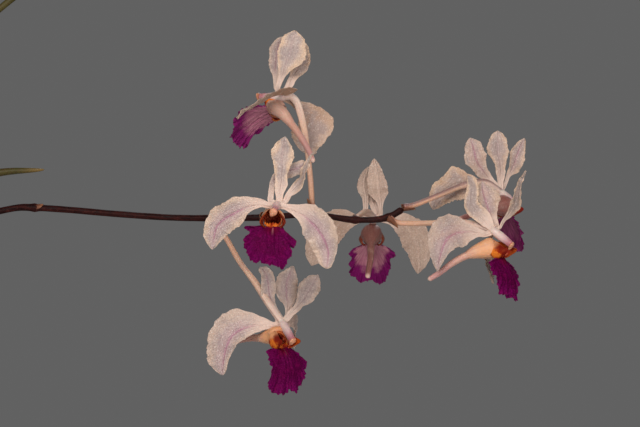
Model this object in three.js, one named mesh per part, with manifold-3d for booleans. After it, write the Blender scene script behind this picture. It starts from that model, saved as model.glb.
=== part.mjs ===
// Potted Holcoglossum orchid: a plain terracotta pot of bark, a short stem with two ranks of quill-like
// leaves, thick roots, and an arching flower stalk that carries six flowers.
// Millimetres, +Z up. The origin is the centre of the pot's foot, on the surface that it stands on.
// +X runs along the flower stalk, and the flowers are seen best from -Y.

import * as THREE from "three";
import { mergeVertices } from "three/addons/utils/BufferGeometryUtils.js";
import Module from "manifold-3d";

// Pot
const POT_HEIGHT = 105;
const FOOT_RADIUS = 42;
const RIM_RADIUS = 62;
const RIM_HEIGHT = 17;
const RIM_STEP = 3.5;
const POT_WALL = 5;
const DRAIN_HOLES = 3;
const DRAIN_RADIUS = 5;
const DRAIN_CIRCLE_RADIUS = 24;

// Bark mix, which stops short of the rim
const BARK_TOP = 92;
const BARK_CROWN = 5;
const BARK_GAP = 0.6;

// Stem, leaves and roots
const STEM_RADIUS = 4;
const STEM_FOOT = 80;
const STEM_TOP = 190;
const LEAF_RADIUS = 1.45;
const LEAF_BASE_RADIUS = 2.6;
const ROOT_RADIUS = 2.3;

// Flower stalk and flowers
const STALK_RADIUS = 1.3;
const PEDICEL_RADIUS = 0.95;
const OVARY_RADIUS = 1.35;
const COLUMN_RADIUS = 1.5;
const TEPAL_THICKNESS = 0.9;
const CLAW_WIDTH = 2.4;
const LIP_LENGTH_STEPS = 8;
const LIP_BULGE = 2;
const LIP_CUP = -0.15;
const SIDE_LOBE_WIDTH = 4.5;
const SIDE_LOBE_HEIGHT = 6;
const SIDE_LOBE_SPREAD = 3.4;
const SIDE_LOBE_THICKNESS = 1;
const SPUR_TIP_RADIUS = 1.15;
const SPUR_SAC_SWELL = 2.5;

// Space that stays open between pieces that touch in the plant
const CLEARANCE = 0.3;

// Leaves: each runs from the stem along these points, base first, and tapers to a point.
const LEAVES = [
  [[5, 0, 112], [28, -8, 138], [60, -16, 158], [100, -22, 160], [140, -26, 138], [166, -28, 104]],
  [[-5, 0, 121], [-34, 8, 150], [-74, 15, 172], [-120, 20, 176], [-166, 24, 156], [-202, 26, 122]],
  [[5, 0, 146], [24, 18, 190], [50, 34, 236], [78, 44, 290], [96, 50, 348], [104, 52, 400]],
  [[-5, 0, 139], [-32, -14, 178], [-68, -28, 212], [-112, -38, 234], [-160, -44, 238], [-208, -46, 220]],
  [[5, 0, 163], [24, -12, 198], [50, -19, 243], [80, -20, 275], [110, -20, 285.6], [130, -20, 287.2]],
  [[-5, 0, 157], [-28, 12, 204], [-62, 26, 252], [-104, 38, 292], [-152, 46, 318], [-204, 52, 328]],
  [[4, 2, 178], [24, 8, 232], [60, 14, 302], [110, 18, 355.6], [160, 18, 386], [212, 16, 396]],
  [[-4, -1, 174], [-20, -12, 226], [-46, -24, 282], [-80, -34, 336], [-120, -40, 380], [-162, -44, 410]],
  [[0, 3, 191], [4, 5, 230], [2, 9, 284], [-8, 14, 336], [-24, 18, 380]],
];

// Roots: two dive into the bark, two climb over the rim, one lies across the bark.
const ROOTS = [
  [
    [4, -4, 100], [18, -16, 103], [38, -32, 106], [54, -46, 110], [60, -54, 100], [58, -53, 78],
    [55, -50, 58],
  ],
  [[-4, -4, 104], [-20, -14, 106], [-44, -24, 109], [-62, -33, 110], [-68, -37, 97], [-65, -37, 72]],
  [[-4, 4, 99], [-16, 20, 102], [-24, 36, 97], [-27, 44, 86]],
  [[5, 3, 101], [20, 12, 104], [34, 16, 99], [41, 18, 87]],
  [[0, -5, 98], [-3, -20, 101], [-10, -34, 99.5], [-20, -40, 95]],
];

// Flower stalk: out of a leaf axil, up in an arch, then level along the row of flowers.
const STALK = [
  [4.5, -3, 128], [14, -3, 156], [30, -2, 196], [52, -1, 233], [80, 0, 260], [98, 0, 268.2],
  [110, 0, 271], [118, 0, 272.4], [124, 0, 272.3], [138, 0, 271.4], [155, 0, 269.9], [177, 0, 268.4],
  [192, 0, 268.1], [215, 0, 268.4], [235, 0, 269.6], [252, 0, 267.5], [264.5, 0, 268.3], [271.2, 0.2, 271.8],
];

// Flowers, in order along the stalk. Every point and direction is in the object's own axes, and the
// points of a flower's parts are measured from its centre. "out" is the way the flower faces, and a part
// with no "face" of its own faces that way too. The pedicel's points are measured from the origin.
const FLOWERS = [
  {
    name: "flower_1",
    centre: [222.9, -5, 226.8],
    size: 1,
    out: [0.68, -0.7, -0.2],
    pedicel: [
      [195.2, -2.2, 265.8], [199.9, -2.4, 261], [206, -1.6, 250.6], [212, -0.6, 242.6], [217.2, 0, 234.8],
    ],
    column: [4.1, -4.5, -7],
    spur: [[-2.6, 0.5, -5.6], [-8, 4, -6.4], [-12.8, 8.5, -6.8], [-17.6, 13.5, -8], [-22, 18, -10]],
    lip: { hinge: [0, -4.6, -10], tip: [3.2, -7, -28], across: [0.72, 0.7, 0], width: 20 },
    dorsal_sepal: {
      midrib: [[0.8, 1, 1.8], [2, 1.6, 4.8], [2.8, 2.5, 8.8], [2.4, 4, 13.6], [3.2, 5, 18], [4.6, 6, 22.2]],
      width: 9,
      face: [0.3, -1, 0],
    },
    petal_left: {
      midrib: [
        [-1.4, -2, 1.4], [-2.7, -2.6, 4], [-4.8, -2.8, 7.6], [-5.6, -2, 12.8], [-6.4, -0.5, 17.6],
        [-9.6, 2, 22],
      ],
      width: 6.6,
      face: [0.2, -1, 0],
    },
    petal_right: {
      midrib: [
        [2.6, -0.5, 1.4], [4.2, -0.4, 3.6], [6.8, 0.5, 6], [9.6, 1, 10], [12, 2, 14.4], [14.8, 3, 18.6],
      ],
      width: 8.5,
      face: [0.1, -1, 0.1],
    },
    lateral_sepal_left: {
      midrib: [
        [-3.2, 0.5, -1], [-8, 0, -0.4], [-14.8, -1, -0.4], [-20.8, -1, -3], [-25, 0, -8.4], [-25.8, 1, -14],
        [-24.2, 3, -21],
      ],
      width: 13,
      face: [0.15, -1, 0.1],
    },
    lateral_sepal_right: {
      midrib: [[2.4, 2.5, -0.6], [4.2, 6.5, 0], [4.8, 12, -1.8], [4.8, 17.5, -6], [4.4, 20.5, -11.6]],
      width: 11,
      face: [0.98, -0.2, 0.1],
    },
  },
  {
    name: "flower_2",
    centre: [221.6, -44, 273.2],
    size: 0.955,
    out: [0, -1, -0.12],
    pedicel: [[215.4, -2.4, 268.6], [216.6, -12, 270], [218.4, -24, 272.4], [220.2, -36, 273.6]],
    column: [-1.2, -7, -2.6],
    spur: [[-1.2, -1, -5.4], [-0.8, 3, -7], [0, 9, -10], [0.5, 16, -15], [1, 21, -20]],
    lip: { hinge: [-1.6, -5, -8.6], tip: [-3.2, -6, -24.8], across: [1, 0, 0.05], width: 21 },
    dorsal_sepal: {
      midrib: [[0.2, 0.6, 2], [1, 0.6, 5.2], [1.6, 0.6, 10], [2.4, 1, 16], [2.4, 2.5, 21.2], [3, 5, 27.2]],
      width: 9.2,
    },
    petal_left: {
      midrib: [
        [-2.4, 1, 1], [-2.9, 2, 6], [-1.8, 3.4, 11.2], [2, 4.8, 14.8], [7.2, 5.6, 16], [11.2, 6, 18.8],
      ],
      width: 6.6,
    },
    petal_right: {
      midrib: [
        [2.8, 1, 0.8], [5.6, 1, 4.8], [8.8, 1.5, 7.6], [10.6, 2, 11.6], [12, 3, 16], [15.8, 5, 21.6],
      ],
      width: 7,
      face: [-0.75, -0.65, 0.1],
    },
    lateral_sepal_left: {
      midrib: [
        [-3.6, 0, 0], [-8.4, -0.5, 0.6], [-14.8, -1, -2.4], [-20.6, 0, -6], [-24.2, 1, -11.2],
        [-25.8, 3, -17.4],
      ],
      width: 12.4,
    },
    lateral_sepal_right: {
      midrib: [
        [3.2, 0, -1.2], [7.2, -0.5, -1.6], [12.8, -1, -4], [17.2, 0, -8.8], [19.4, 1, -15.2],
        [19.8, 2, -20.6], [19.2, 3, -25.4],
      ],
      width: 12.6,
    },
  },
  {
    name: "flower_3",
    centre: [222.5, -4, 316.4],
    size: 1,
    out: [-0.75, 0.6, -0.15],
    pedicel: [
      [235, 0, 271.4], [234.2, -0.5, 283.4], [233.2, -1, 293.4], [231.6, -1.5, 303.8], [230.2, -2, 310],
      [228.6, -2.5, 314.6], [226, -3, 316.8],
    ],
    column: [-8.6, 3, 0.2],
    spur: [
      [-3.2, 0.5, -3.6], [0.8, -3, -6.8], [4.8, -7, -11.8], [8.4, -11, -17], [11.2, -14.5, -22],
      [13, -17, -26.4],
    ],
    lip: { hinge: [-4.4, 3, -6.4], tip: [-18, 7, -17.4], across: [-0.32, -0.72, 0.62], width: 18.5 },
    dorsal_sepal: {
      midrib: [
        [-0.8, -0.8, 2.2], [-1.2, -1, 5.2], [0.4, -1.4, 10], [2.8, -1.8, 16.8], [4.8, -1.4, 22],
        [6, -0.4, 26.4],
      ],
      width: 11,
      face: [-0.15, -1, 0],
    },
    petal_left: {
      midrib: [[2.4, 1.2, 3.4], [3.8, 2, 6.8], [6.6, 3.4, 11.6], [8.4, 4.4, 16.4], [8.8, 5.4, 21.6]],
      width: 9,
      face: [0.1, -1, 0],
    },
    petal_right: {
      midrib: [
        [-2.6, 1.6, 2.8], [-2.2, 2, 6], [-2.6, 3, 10.8], [-1.2, 4, 16.8], [1.4, 5, 21.6], [4, 5.6, 25.4],
      ],
      width: 9.5,
      face: [-0.1, -1, 0],
    },
    lateral_sepal_left: {
      midrib: [
        [1.8, 2.6, -0.8], [6, 5.5, -2.4], [11, 9, -5.6], [13.6, 11.5, -10.4], [12.6, 13.5, -16],
        [9.4, 14.5, -21.2],
      ],
      width: 14,
      face: [0.1, -1, 0.2],
    },
    lateral_sepal_right: {
      midrib: [[3.4, -2.8, 2.2], [-1.2, -7, 1], [-7.4, -13, -2.4], [-12.4, -19, -5.4], [-16.8, -24, -9.2]],
      width: 12,
      face: [-0.3, -0.35, 0.9],
    },
  },
  {
    name: "flower_4",
    centre: [260.2, 44, 268.1],
    size: 1.046,
    out: [0, 1, -0.1],
    pedicel: [[252.2, 2.2, 267.6], [253.6, 12, 269], [256, 24, 270.4], [258.4, 36, 270]],
    column: [0, 7, -3],
    spur: [
      [-0.6, 1, -6.6], [-0.8, -4, -8.6], [-1, -9, -12], [-1.2, -13, -16], [-2, -16, -20],
      [-2.6, -19, -23.4],
    ],
    lip: { hinge: [-0.4, 6, -10.6], tip: [-1.2, 8, -27], across: [-1, 0, 0], width: 19 },
    dorsal_sepal: {
      midrib: [
        [1.6, -0.8, 2.2], [2.9, -0.8, 4.8], [2.8, -1, 9.2], [2, -1.4, 14.4], [1.2, -1.2, 19.2],
        [0.2, -0.2, 24],
      ],
      width: 8.4,
    },
    petal_left: {
      midrib: [
        [1.4, 2, 2.2], [-0.4, 2.8, 6], [-1.4, 4, 8.8], [0.4, 5.4, 13], [1.6, 6.2, 17], [2, 6.8, 20.4],
      ],
      width: 5.6,
    },
    petal_right: {
      midrib: [
        [-2.4, 1, 1.8], [-3.2, 1.4, 5.2], [-3.2, 1.8, 9.2], [-4, 2.2, 12.8], [-3.6, 2.8, 16.8],
        [-2.4, 3.6, 20.4],
      ],
      width: 5.2,
    },
    lateral_sepal_left: {
      midrib: [[2.8, 0, -0.6], [6.4, 1, 0], [11.2, 2, -3], [15.2, 3, -7.6], [18, 4, -13.6], [18, 5, -21.2]],
      width: 12,
    },
    lateral_sepal_right: {
      midrib: [
        [-2.8, 0, -0.6], [-6.4, 1, 0.2], [-11.2, 2, -1.8], [-16, 3, -5.2], [-20.4, 4, -10.6],
        [-24, 5, -17.2],
      ],
      width: 13,
    },
  },
  {
    name: "flower_5",
    centre: [306.6, -14, 263.1],
    size: 0.985,
    out: [0.94, -0.28, -0.2],
    pedicel: [
      [266, -2.3, 268], [269, -3.4, 266.4], [281.6, -6.5, 266.2], [292, -9.5, 266.4], [301, -12.4, 265.2],
    ],
    column: [6.4, -2, -5.4],
    spur: [
      [1.2, -1, -6.6], [-4.8, -1.5, -7.6], [-10.8, -2, -9.6], [-16.8, -2, -12.8], [-22, -1, -16.8],
      [-26.4, 0, -19.6],
    ],
    lip: { hinge: [2.4, -1.6, -10.6], tip: [7.6, -3, -28], across: [0.45, 0.89, 0], width: 20 },
    dorsal_sepal: {
      midrib: [
        [-0.2, 1.8, 2.2], [-0.8, 2, 6.4], [-2, 2, 10.4], [-2.8, 2.4, 14], [-3.6, 3, 17.2], [-4.8, 4, 20.2],
      ],
      width: 8.6,
      face: [0.3, -1, 0],
    },
    petal_left: {
      midrib: [
        [-1.8, -1, 1.6], [-4, -1.4, 4.4], [-6.8, -1.8, 8.4], [-8.8, -2, 12.4], [-9.2, -1.5, 16.4],
        [-10.4, 0, 22.2],
      ],
      width: 6.6,
      face: [0.2, -1, 0],
    },
    petal_right: {
      midrib: [
        [2, 0.2, 1.6], [3.8, 0.6, 3.8], [6.6, 1, 8], [8.8, 1.6, 12], [10.2, 2.4, 16.8], [13.2, 4, 24],
      ],
      width: 7,
      face: [0.8, -0.6, -0.1],
    },
    lateral_sepal_left: {
      midrib: [
        [-3.4, -1, -1.2], [-7.6, -3, -0.4], [-12.8, -5, -0.2], [-18, -7, -0.8], [-21.6, -8, -4],
        [-22.8, -8, -9], [-22.8, -7, -16.2],
      ],
      width: 13.4,
      face: [0.2, -1, 0.1],
    },
    lateral_sepal_right: {
      midrib: [[-0.4, 3, -1.2], [0.2, 9, -3], [0, 14.5, -7], [-0.4, 17.5, -13], [0.4, 18.5, -20.6]],
      width: 10.5,
    },
  },
  {
    name: "flower_6",
    centre: [311.2, 16, 278.7],
    size: 1.017,
    out: [0.92, 0.3, -0.2],
    pedicel: [[271.6, 0.8, 272.6], [275, 1.6, 273.2], [286, 4.5, 277.4], [297, 8, 281.6], [305, 12, 282.4]],
    column: [5.6, 2.5, -4.4],
    spur: [[1.2, -0.5, -5.4], [-3, -4, -6.4], [-8, -8, -8], [-13, -11, -9.4], [-17.6, -13, -11]],
    lip: { hinge: [2.4, 2.4, -9.6], tip: [5.4, 4, -24.4], across: [-0.4, 0.9, 0], width: 19 },
    dorsal_sepal: {
      midrib: [[0, 0, 2.4], [0, 0, 5.6], [0, 0.5, 9.6], [-1.2, 1, 14.8], [-0.8, 2, 19.6], [-0.4, 3, 24.4]],
      width: 8.4,
      face: [0.2, -1, 0],
    },
    petal_left: {
      midrib: [
        [-2, -1.6, 2], [-4, -2.2, 4.8], [-6.8, -3, 8.4], [-9.6, -4, 12.8], [-10.8, -4, 17.2],
        [-11.8, -3, 21.8],
      ],
      width: 8.2,
      face: [0.2, -1, 0.1],
    },
    petal_right: {
      midrib: [
        [1.8, 1.8, 2], [2.8, 2.8, 5.2], [4.4, 4.5, 8.8], [6.4, 6, 12.8], [7.6, 7, 17.2], [9.8, 7, 21.6],
      ],
      width: 6.8,
      face: [0.4, -1, 0],
    },
    lateral_sepal_left: {
      midrib: [
        [-3.4, -2, -0.8], [-8, -4, 0.6], [-13.2, -5, 2.2], [-18.8, -5.5, 2.4], [-23.6, -5, 0.4],
        [-26.8, -4, -5],
      ],
      width: 13.4,
      face: [0, -1, 0.1],
    },
    lateral_sepal_right: {
      midrib: [[0, 4, -0.8], [0.6, 9, -0.6], [0.4, 15, -4], [-1, 19.5, -9.4], [-2.4, 22, -15.6]],
      width: 11,
    },
  },
];

const wasm = await Module();
wasm.setup();

const vector = (p) => new THREE.Vector3(...p);
const curveThrough = (points) =>
  new THREE.CatmullRomCurve3(points.map(vector), false, "centripetal");

function finish(colour, roughness, metalness = 0) {
  return new THREE.MeshStandardMaterial({ color: colour, roughness, metalness, side: THREE.DoubleSide });
}

const TERRACOTTA = finish("#b5623f", 0.85);
const BARK = finish("#5a3a24", 0.95);
const STEM_BROWN = finish("#7a6a42", 0.8);
const LEAF_GREEN = finish("#59682e", 0.5);
const ROOT_SILVER = finish("#b9bba4", 0.9);
const STALK_MAROON = finish("#4e2225", 0.55);
const PEDICEL_PINK = finish("#d9ab98", 0.5);
const TEPAL_WHITE = finish("#d8cbc6", 0.55);
const LIP_MAGENTA = finish("#7d1372", 0.5);

// A closed skin over a row of rings, each ring a flat loop of the same number of points.
function loft(rings) {
  const sides = rings[0].length;
  const last = (rings.length - 1) * sides;
  const index = [];
  for (let k = 0; k < last; k += sides)
    for (let i = 0; i < sides; i++) {
      const next = (i + 1) % sides;
      index.push(k + i, k + next, k + sides + next, k + i, k + sides + next, k + sides + i);
    }
  for (let i = 1; i + 1 < sides; i++) {
    index.push(0, i + 1, i);
    index.push(last, last + i, last + i + 1);
  }
  const points = rings.flat();
  const geometry = new THREE.BufferGeometry().setFromPoints(points);
  geometry.setIndex(pointsOut(points, index) ? index : index.reverse());
  return geometry;
}

function pointsOut(points, index) {
  let volume = 0;
  for (let i = 0; i < index.length; i += 3) {
    const [a, b, c] = [points[index[i]], points[index[i + 1]], points[index[i + 2]]];
    volume += a.dot(new THREE.Vector3().crossVectors(b, c));
  }
  return volume > 0;
}

// A round tube along the points, with the radius that radiusAt gives from 0 at the start to 1 at the end.
function tube(points, radiusAt, steps, sides) {
  const curve = curveThrough(points);
  const frames = curve.computeFrenetFrames(steps, false);
  const rings = [];
  for (let k = 0; k <= steps; k++) {
    const centre = curve.getPointAt(k / steps);
    const radius = radiusAt(k / steps);
    const ring = [];
    for (let i = 0; i < sides; i++) {
      const angle = (2 * Math.PI * i) / sides;
      ring.push(
        centre
          .clone()
          .addScaledVector(frames.normals[k], radius * Math.cos(angle))
          .addScaledVector(frames.binormals[k], radius * Math.sin(angle)),
      );
    }
    rings.push(ring);
  }
  return loft(rings);
}

// A thin blade along its midrib: a lens section, widthAt wide, bent up at its edges by cup.
function blade(points, face, widthAt, { steps = 8, thickness = TEPAL_THICKNESS, cup = 0.12 } = {}) {
  const curve = curveThrough(points);
  const section = [[-1, 0], [-0.45, 0.5], [0.45, 0.5], [1, 0], [0.45, -0.5], [-0.45, -0.5]];
  const rings = [];
  for (let k = 0; k <= steps; k++) {
    const t = k / steps;
    const centre = curve.getPointAt(t);
    const along = curve.getTangentAt(t);
    const across = new THREE.Vector3().crossVectors(vector(face), along).normalize();
    const up = new THREE.Vector3().crossVectors(along, across);
    const half = widthAt(t) / 2;
    rings.push(
      section.map(([side, lift]) =>
        centre
          .clone()
          .addScaledVector(across, half * side)
          .addScaledVector(up, thickness * lift + cup * half * side * side),
      ),
    );
  }
  return loft(rings);
}

// Width along a petal or the dorsal sepal: a narrow claw, then a spoon with a blunt tip.
function clawedWidth(width, grow = 0) {
  return (t) => {
    const spoon = THREE.MathUtils.smoothstep(t, 0.2, 0.62);
    const tip = t < 0.72 ? 1 : Math.sqrt(Math.max(0.015, 1 - ((t - 0.72) / 0.28) ** 2));
    return (CLAW_WIDTH + (width - CLAW_WIDTH) * spoon) * tip + grow;
  };
}

// Width along a lateral sepal: it widens almost from its base.
function sickleWidth(width, grow = 0) {
  return (t) => {
    const belly = THREE.MathUtils.smoothstep(t, -0.08, 0.48);
    const tip = t < 0.6 ? 1 : Math.sqrt(Math.max(0.015, 1 - ((t - 0.6) / 0.4) ** 2));
    return (CLAW_WIDTH + (width - CLAW_WIDTH) * belly) * tip + grow;
  };
}

function solid(geometry) {
  const bare = geometry.clone();
  bare.deleteAttribute("normal");
  bare.deleteAttribute("uv");
  const merged = mergeVertices(bare, 1e-4);
  return new wasm.Manifold(
    new wasm.Mesh({
      numProp: 3,
      vertProperties: merged.attributes.position.array,
      triVerts: new Uint32Array(merged.index.array),
    }),
  );
}

// The largest body of a cut solid: a cut can leave a crumb beside the piece.
function largest(made) {
  return made.decompose().reduce((a, b) => (a.volume() > b.volume() ? a : b));
}

function geometryOf(made) {
  const mesh = made.getMesh();
  const position = new Float32Array(mesh.numVert * 3);
  for (let i = 0; i < mesh.numVert; i++)
    position.set(mesh.vertProperties.subarray(i * mesh.numProp, i * mesh.numProp + 3), i * 3);
  return new THREE.BufferGeometry()
    .setAttribute("position", new THREE.BufferAttribute(position, 3))
    .setIndex(new THREE.BufferAttribute(mesh.triVerts, 1));
}

const plant = new THREE.Group();

function add(name, made, material) {
  const geometry = geometryOf(made);
  geometry.computeVertexNormals();
  const mesh = new THREE.Mesh(geometry, material);
  mesh.name = name;
  plant.add(mesh);
}

// Pot

function lathe(profile, segments) {
  const outline = profile.map(([r, z]) => new THREE.Vector2(r, z));
  return solid(new THREE.LatheGeometry(outline, segments).rotateX(Math.PI / 2));
}

// The inner wall's radius at a height above the pot's floor
function insideRadius(z) {
  const floor = FOOT_RADIUS - POT_WALL;
  const brim = RIM_RADIUS - POT_WALL;
  return floor + ((brim - floor) * (z - POT_WALL)) / (POT_HEIGHT - POT_WALL);
}

function pot() {
  const underRim = POT_HEIGHT - RIM_HEIGHT;
  const body = lathe(
    [
      [0, 0],
      [FOOT_RADIUS - 1, 0],
      [FOOT_RADIUS, 1],
      [RIM_RADIUS - RIM_STEP, underRim],
      [RIM_RADIUS, underRim + 1],
      [RIM_RADIUS, POT_HEIGHT - 1.5],
      [RIM_RADIUS - 1.5, POT_HEIGHT],
      [insideRadius(POT_HEIGHT) + 1, POT_HEIGHT],
      [insideRadius(POT_HEIGHT - 1), POT_HEIGHT - 1],
      [insideRadius(POT_WALL), POT_WALL],
      [0, POT_WALL],
    ],
    40,
  );
  let pierced = body;
  for (let i = 0; i < DRAIN_HOLES; i++) {
    const angle = (2 * Math.PI * i) / DRAIN_HOLES + Math.PI / 2;
    const drill = new THREE.CylinderGeometry(DRAIN_RADIUS, DRAIN_RADIUS, 3 * POT_WALL, 16);
    drill.rotateX(Math.PI / 2);
    drill.translate(DRAIN_CIRCLE_RADIUS * Math.cos(angle), DRAIN_CIRCLE_RADIUS * Math.sin(angle), 0);
    pierced = pierced.subtract(solid(drill));
  }
  return pierced;
}

// Stem, roots and the bark around them

function stem(grow = 0) {
  const taper = (t) => STEM_RADIUS * (1 - 0.45 * t ** 4) + grow;
  const points = [[0, 0, STEM_FOOT - grow], [0.6, 0, 115], [-0.4, 0, 150], [0, 0, STEM_TOP - 4]];
  return solid(tube(points, taper, 10, 10));
}

function root(points, grow = 0) {
  const taper = (t) => ROOT_RADIUS * (1 - 0.12 * t) * Math.sqrt(Math.max(0.12, 1 - t ** 14)) + grow;
  return solid(tube(points, taper, 4 * (points.length - 1), 7));
}

function bark() {
  const low = POT_WALL + BARK_GAP;
  let made = lathe(
    [
      [0, low],
      [insideRadius(low) - BARK_GAP, low],
      [insideRadius(BARK_TOP - 2) - BARK_GAP, BARK_TOP - 2],
      [insideRadius(BARK_TOP) - 4, BARK_TOP],
      [20, BARK_TOP + 0.7 * BARK_CROWN],
      [0, BARK_TOP + BARK_CROWN],
    ],
    32,
  );
  made = made.subtract(stem(CLEARANCE));
  for (const points of ROOTS) made = made.subtract(root(points, CLEARANCE));
  return largest(made);
}

// Leaves

function leaf(points, grow = 0) {
  const taper = (t) => {
    const flare = (LEAF_BASE_RADIUS - LEAF_RADIUS) * Math.max(0, 1 - 9 * t);
    const point = Math.min(1, 0.08 + 4.2 * (1 - t));
    return (LEAF_RADIUS + flare) * point + grow;
  };
  return solid(tube(points, taper, 16, 7));
}

// Flowers

function pedicel(flower, grow = 0) {
  const centre = vector(flower.centre);
  const cap = vector(flower.column).multiplyScalar(flower.size).add(centre);
  const points = [...flower.pedicel, flower.centre, cap.toArray()];
  const curve = curveThrough(points);
  const whole = curve.getLength();
  const columnShare = centre.distanceTo(cap) / whole;
  const radiusAt = (t) => {
    const fromCap = 1 - t;
    if (fromCap < columnShare * 0.28) return COLUMN_RADIUS * (0.8 + 0.2 * Math.min(1, fromCap * 30)) + grow;
    if (fromCap < columnShare) return COLUMN_RADIUS * 0.95 + grow;
    return PEDICEL_RADIUS + (OVARY_RADIUS - PEDICEL_RADIUS) * THREE.MathUtils.smoothstep(t, 0.3, 0.75) + grow;
  };
  return solid(tube(points, radiusAt, 16, 8));
}

function tepal(flower, name, grow = 0) {
  const part = flower[name];
  const centre = vector(flower.centre);
  const points = part.midrib.map((p) => vector(p).multiplyScalar(flower.size).add(centre).toArray());
  const width = part.width * flower.size;
  const widthAt = name.startsWith("lateral") ? sickleWidth(width, 2 * grow) : clawedWidth(width, 2 * grow);
  return solid(blade(points, part.face ?? flower.out, widthAt, { thickness: TEPAL_THICKNESS + 2 * grow }));
}

// The lip: a fan that hangs from its hinge, a lobe up each side of the column, and a funnel-shaped spur.
function lip(flower, grow = 0) {
  const place = (p) => vector(p).multiplyScalar(flower.size).add(vector(flower.centre));
  const hinge = place(flower.lip.hinge);
  const tip = place(flower.lip.tip);
  const across = vector(flower.lip.across).normalize();
  const down = tip.clone().sub(hinge).normalize();
  const outward = new THREE.Vector3().crossVectors(down, across).normalize();
  if (outward.dot(vector(flower.out)) < 0) outward.negate();
  const mouth = place(flower.spur[0]).lerp(hinge, 0.75);
  const fanPoints = [0, 0.25, 0.5, 0.75, 1].map((t) =>
    mouth.clone().lerp(tip, t).addScaledVector(outward, LIP_BULGE * Math.sin(Math.PI * t)).toArray(),
  );
  const fanWidth = (t) => {
    const shoulder = 0.36 + 0.64 * THREE.MathUtils.smoothstep(t, 0.04, 0.42);
    const end = t < 0.62 ? 1 : Math.sqrt(Math.max(0.05, 1 - ((t - 0.62) / 0.42) ** 2));
    return flower.lip.width * flower.size * shoulder * end + 2 * grow;
  };
  const fanOptions = { steps: LIP_LENGTH_STEPS, thickness: TEPAL_THICKNESS + 2 * grow, cup: LIP_CUP };
  let made = solid(blade(fanPoints, outward.toArray(), fanWidth, fanOptions));
  const spurPoints = flower.spur.map((p) => place(p).toArray());
  const spurRadius = (t) => {
    const sac = SPUR_SAC_SWELL * Math.max(0, 1 - 2.6 * Math.abs(t - 0.14)) ** 0.8;
    return SPUR_TIP_RADIUS + sac + 0.9 * (1 - t) + grow;
  };
  made = made.add(solid(tube([mouth.toArray(), ...spurPoints], spurRadius, 12, 10)));
  for (const side of [-1, 1]) {
    const foot = hinge.clone().addScaledVector(across, side * SIDE_LOBE_SPREAD).addScaledVector(down, 0.5);
    const top = foot
      .clone()
      .addScaledVector(down, -SIDE_LOBE_HEIGHT)
      .addScaledVector(across, side * 0.9)
      .addScaledVector(outward, -0.5);
    const middle = foot.clone().lerp(top, 0.5).addScaledVector(across, side * 0.8);
    const face = across.clone().multiplyScalar(side).addScaledVector(outward, 0.5).toArray();
    const lobeWidth = (t) => SIDE_LOBE_WIDTH * (0.75 + 0.3 * Math.sin(Math.PI * t) - 0.25 * t) + 2 * grow;
    const lobePoints = [foot, middle, top].map((p) => p.toArray());
    const lobeOptions = { steps: 4, thickness: SIDE_LOBE_THICKNESS + 2 * grow, cup: 0.1 };
    made = made.add(solid(blade(lobePoints, face, lobeWidth, lobeOptions)));
  }
  return made;
}

const TEPALS = ["dorsal_sepal", "petal_left", "petal_right", "lateral_sepal_left", "lateral_sepal_right"];

// Each part of a flower is cut back from the parts made before it, so that all of them stay clear.
function addFlower(flower) {
  const stalkSide = solid(tube(STALK, () => STALK_RADIUS + CLEARANCE, 40, 8));
  add(flower.name + "_pedicel", largest(pedicel(flower).subtract(stalkSide)), PEDICEL_PINK);
  let taken = pedicel(flower, CLEARANCE);
  add(flower.name + "_lip", largest(lip(flower).subtract(taken)), LIP_MAGENTA);
  taken = taken.add(lip(flower, CLEARANCE));
  for (const name of TEPALS) {
    add(flower.name + "_" + name, largest(tepal(flower, name).subtract(taken)), TEPAL_WHITE);
    taken = taken.add(tepal(flower, name, CLEARANCE));
  }
}

add("pot", pot(), TERRACOTTA);
add("bark_mix", bark(), BARK);
add("stem", stem(), STEM_BROWN);
const stemSpace = stem(CLEARANCE);
ROOTS.forEach((points, i) => add("root_" + (i + 1), largest(root(points).subtract(stemSpace)), ROOT_SILVER));
let leafSpace = stemSpace;
LEAVES.forEach((points, i) => {
  add("leaf_" + (i + 1), largest(leaf(points).subtract(leafSpace)), LEAF_GREEN);
  leafSpace = leafSpace.add(leaf(points, CLEARANCE));
});
const stalk = solid(tube(STALK, (t) => STALK_RADIUS * (1.12 - 0.2 * t), 40, 8));
add("peduncle", largest(stalk.subtract(leafSpace)), STALK_MAROON);
FLOWERS.forEach(addFlower);

export default plant;
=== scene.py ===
"""Potted Holcoglossum orchid: the finished look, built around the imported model.

Lengths are written in millimetres in the object's own axes and turned into metres when a mesh is made.
+X runs along the flower stalk, +Z is up, and the flowers are seen from -Y. A flower's points are measured
from its centre, as in the solid model.
"""

import math

import bmesh
import bpy
import numpy as np
from mathutils import Euler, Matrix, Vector, noise


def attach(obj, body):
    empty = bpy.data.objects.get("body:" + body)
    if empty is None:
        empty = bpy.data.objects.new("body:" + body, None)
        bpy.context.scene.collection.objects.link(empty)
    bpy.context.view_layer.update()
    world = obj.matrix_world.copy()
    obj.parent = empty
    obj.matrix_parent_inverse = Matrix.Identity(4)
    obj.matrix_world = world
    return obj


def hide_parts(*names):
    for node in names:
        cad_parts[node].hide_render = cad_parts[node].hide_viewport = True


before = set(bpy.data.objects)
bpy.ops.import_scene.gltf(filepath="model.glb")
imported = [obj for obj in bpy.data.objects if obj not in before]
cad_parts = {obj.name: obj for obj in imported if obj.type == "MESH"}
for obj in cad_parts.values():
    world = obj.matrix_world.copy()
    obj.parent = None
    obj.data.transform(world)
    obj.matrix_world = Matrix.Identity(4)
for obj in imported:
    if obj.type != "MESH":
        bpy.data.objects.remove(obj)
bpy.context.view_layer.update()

MM = 0.001

# The photograph's view: a level camera looking along +Y, with the flower stalk across the picture
VIEW_CENTRE = (238.0, 270.0)
VIEW_WIDTH = 256.0
LENS_MM = 135.0
SENSOR_MM = 36.0
CAMERA_DISTANCE = VIEW_WIDTH * LENS_MM / SENSOR_MM

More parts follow.
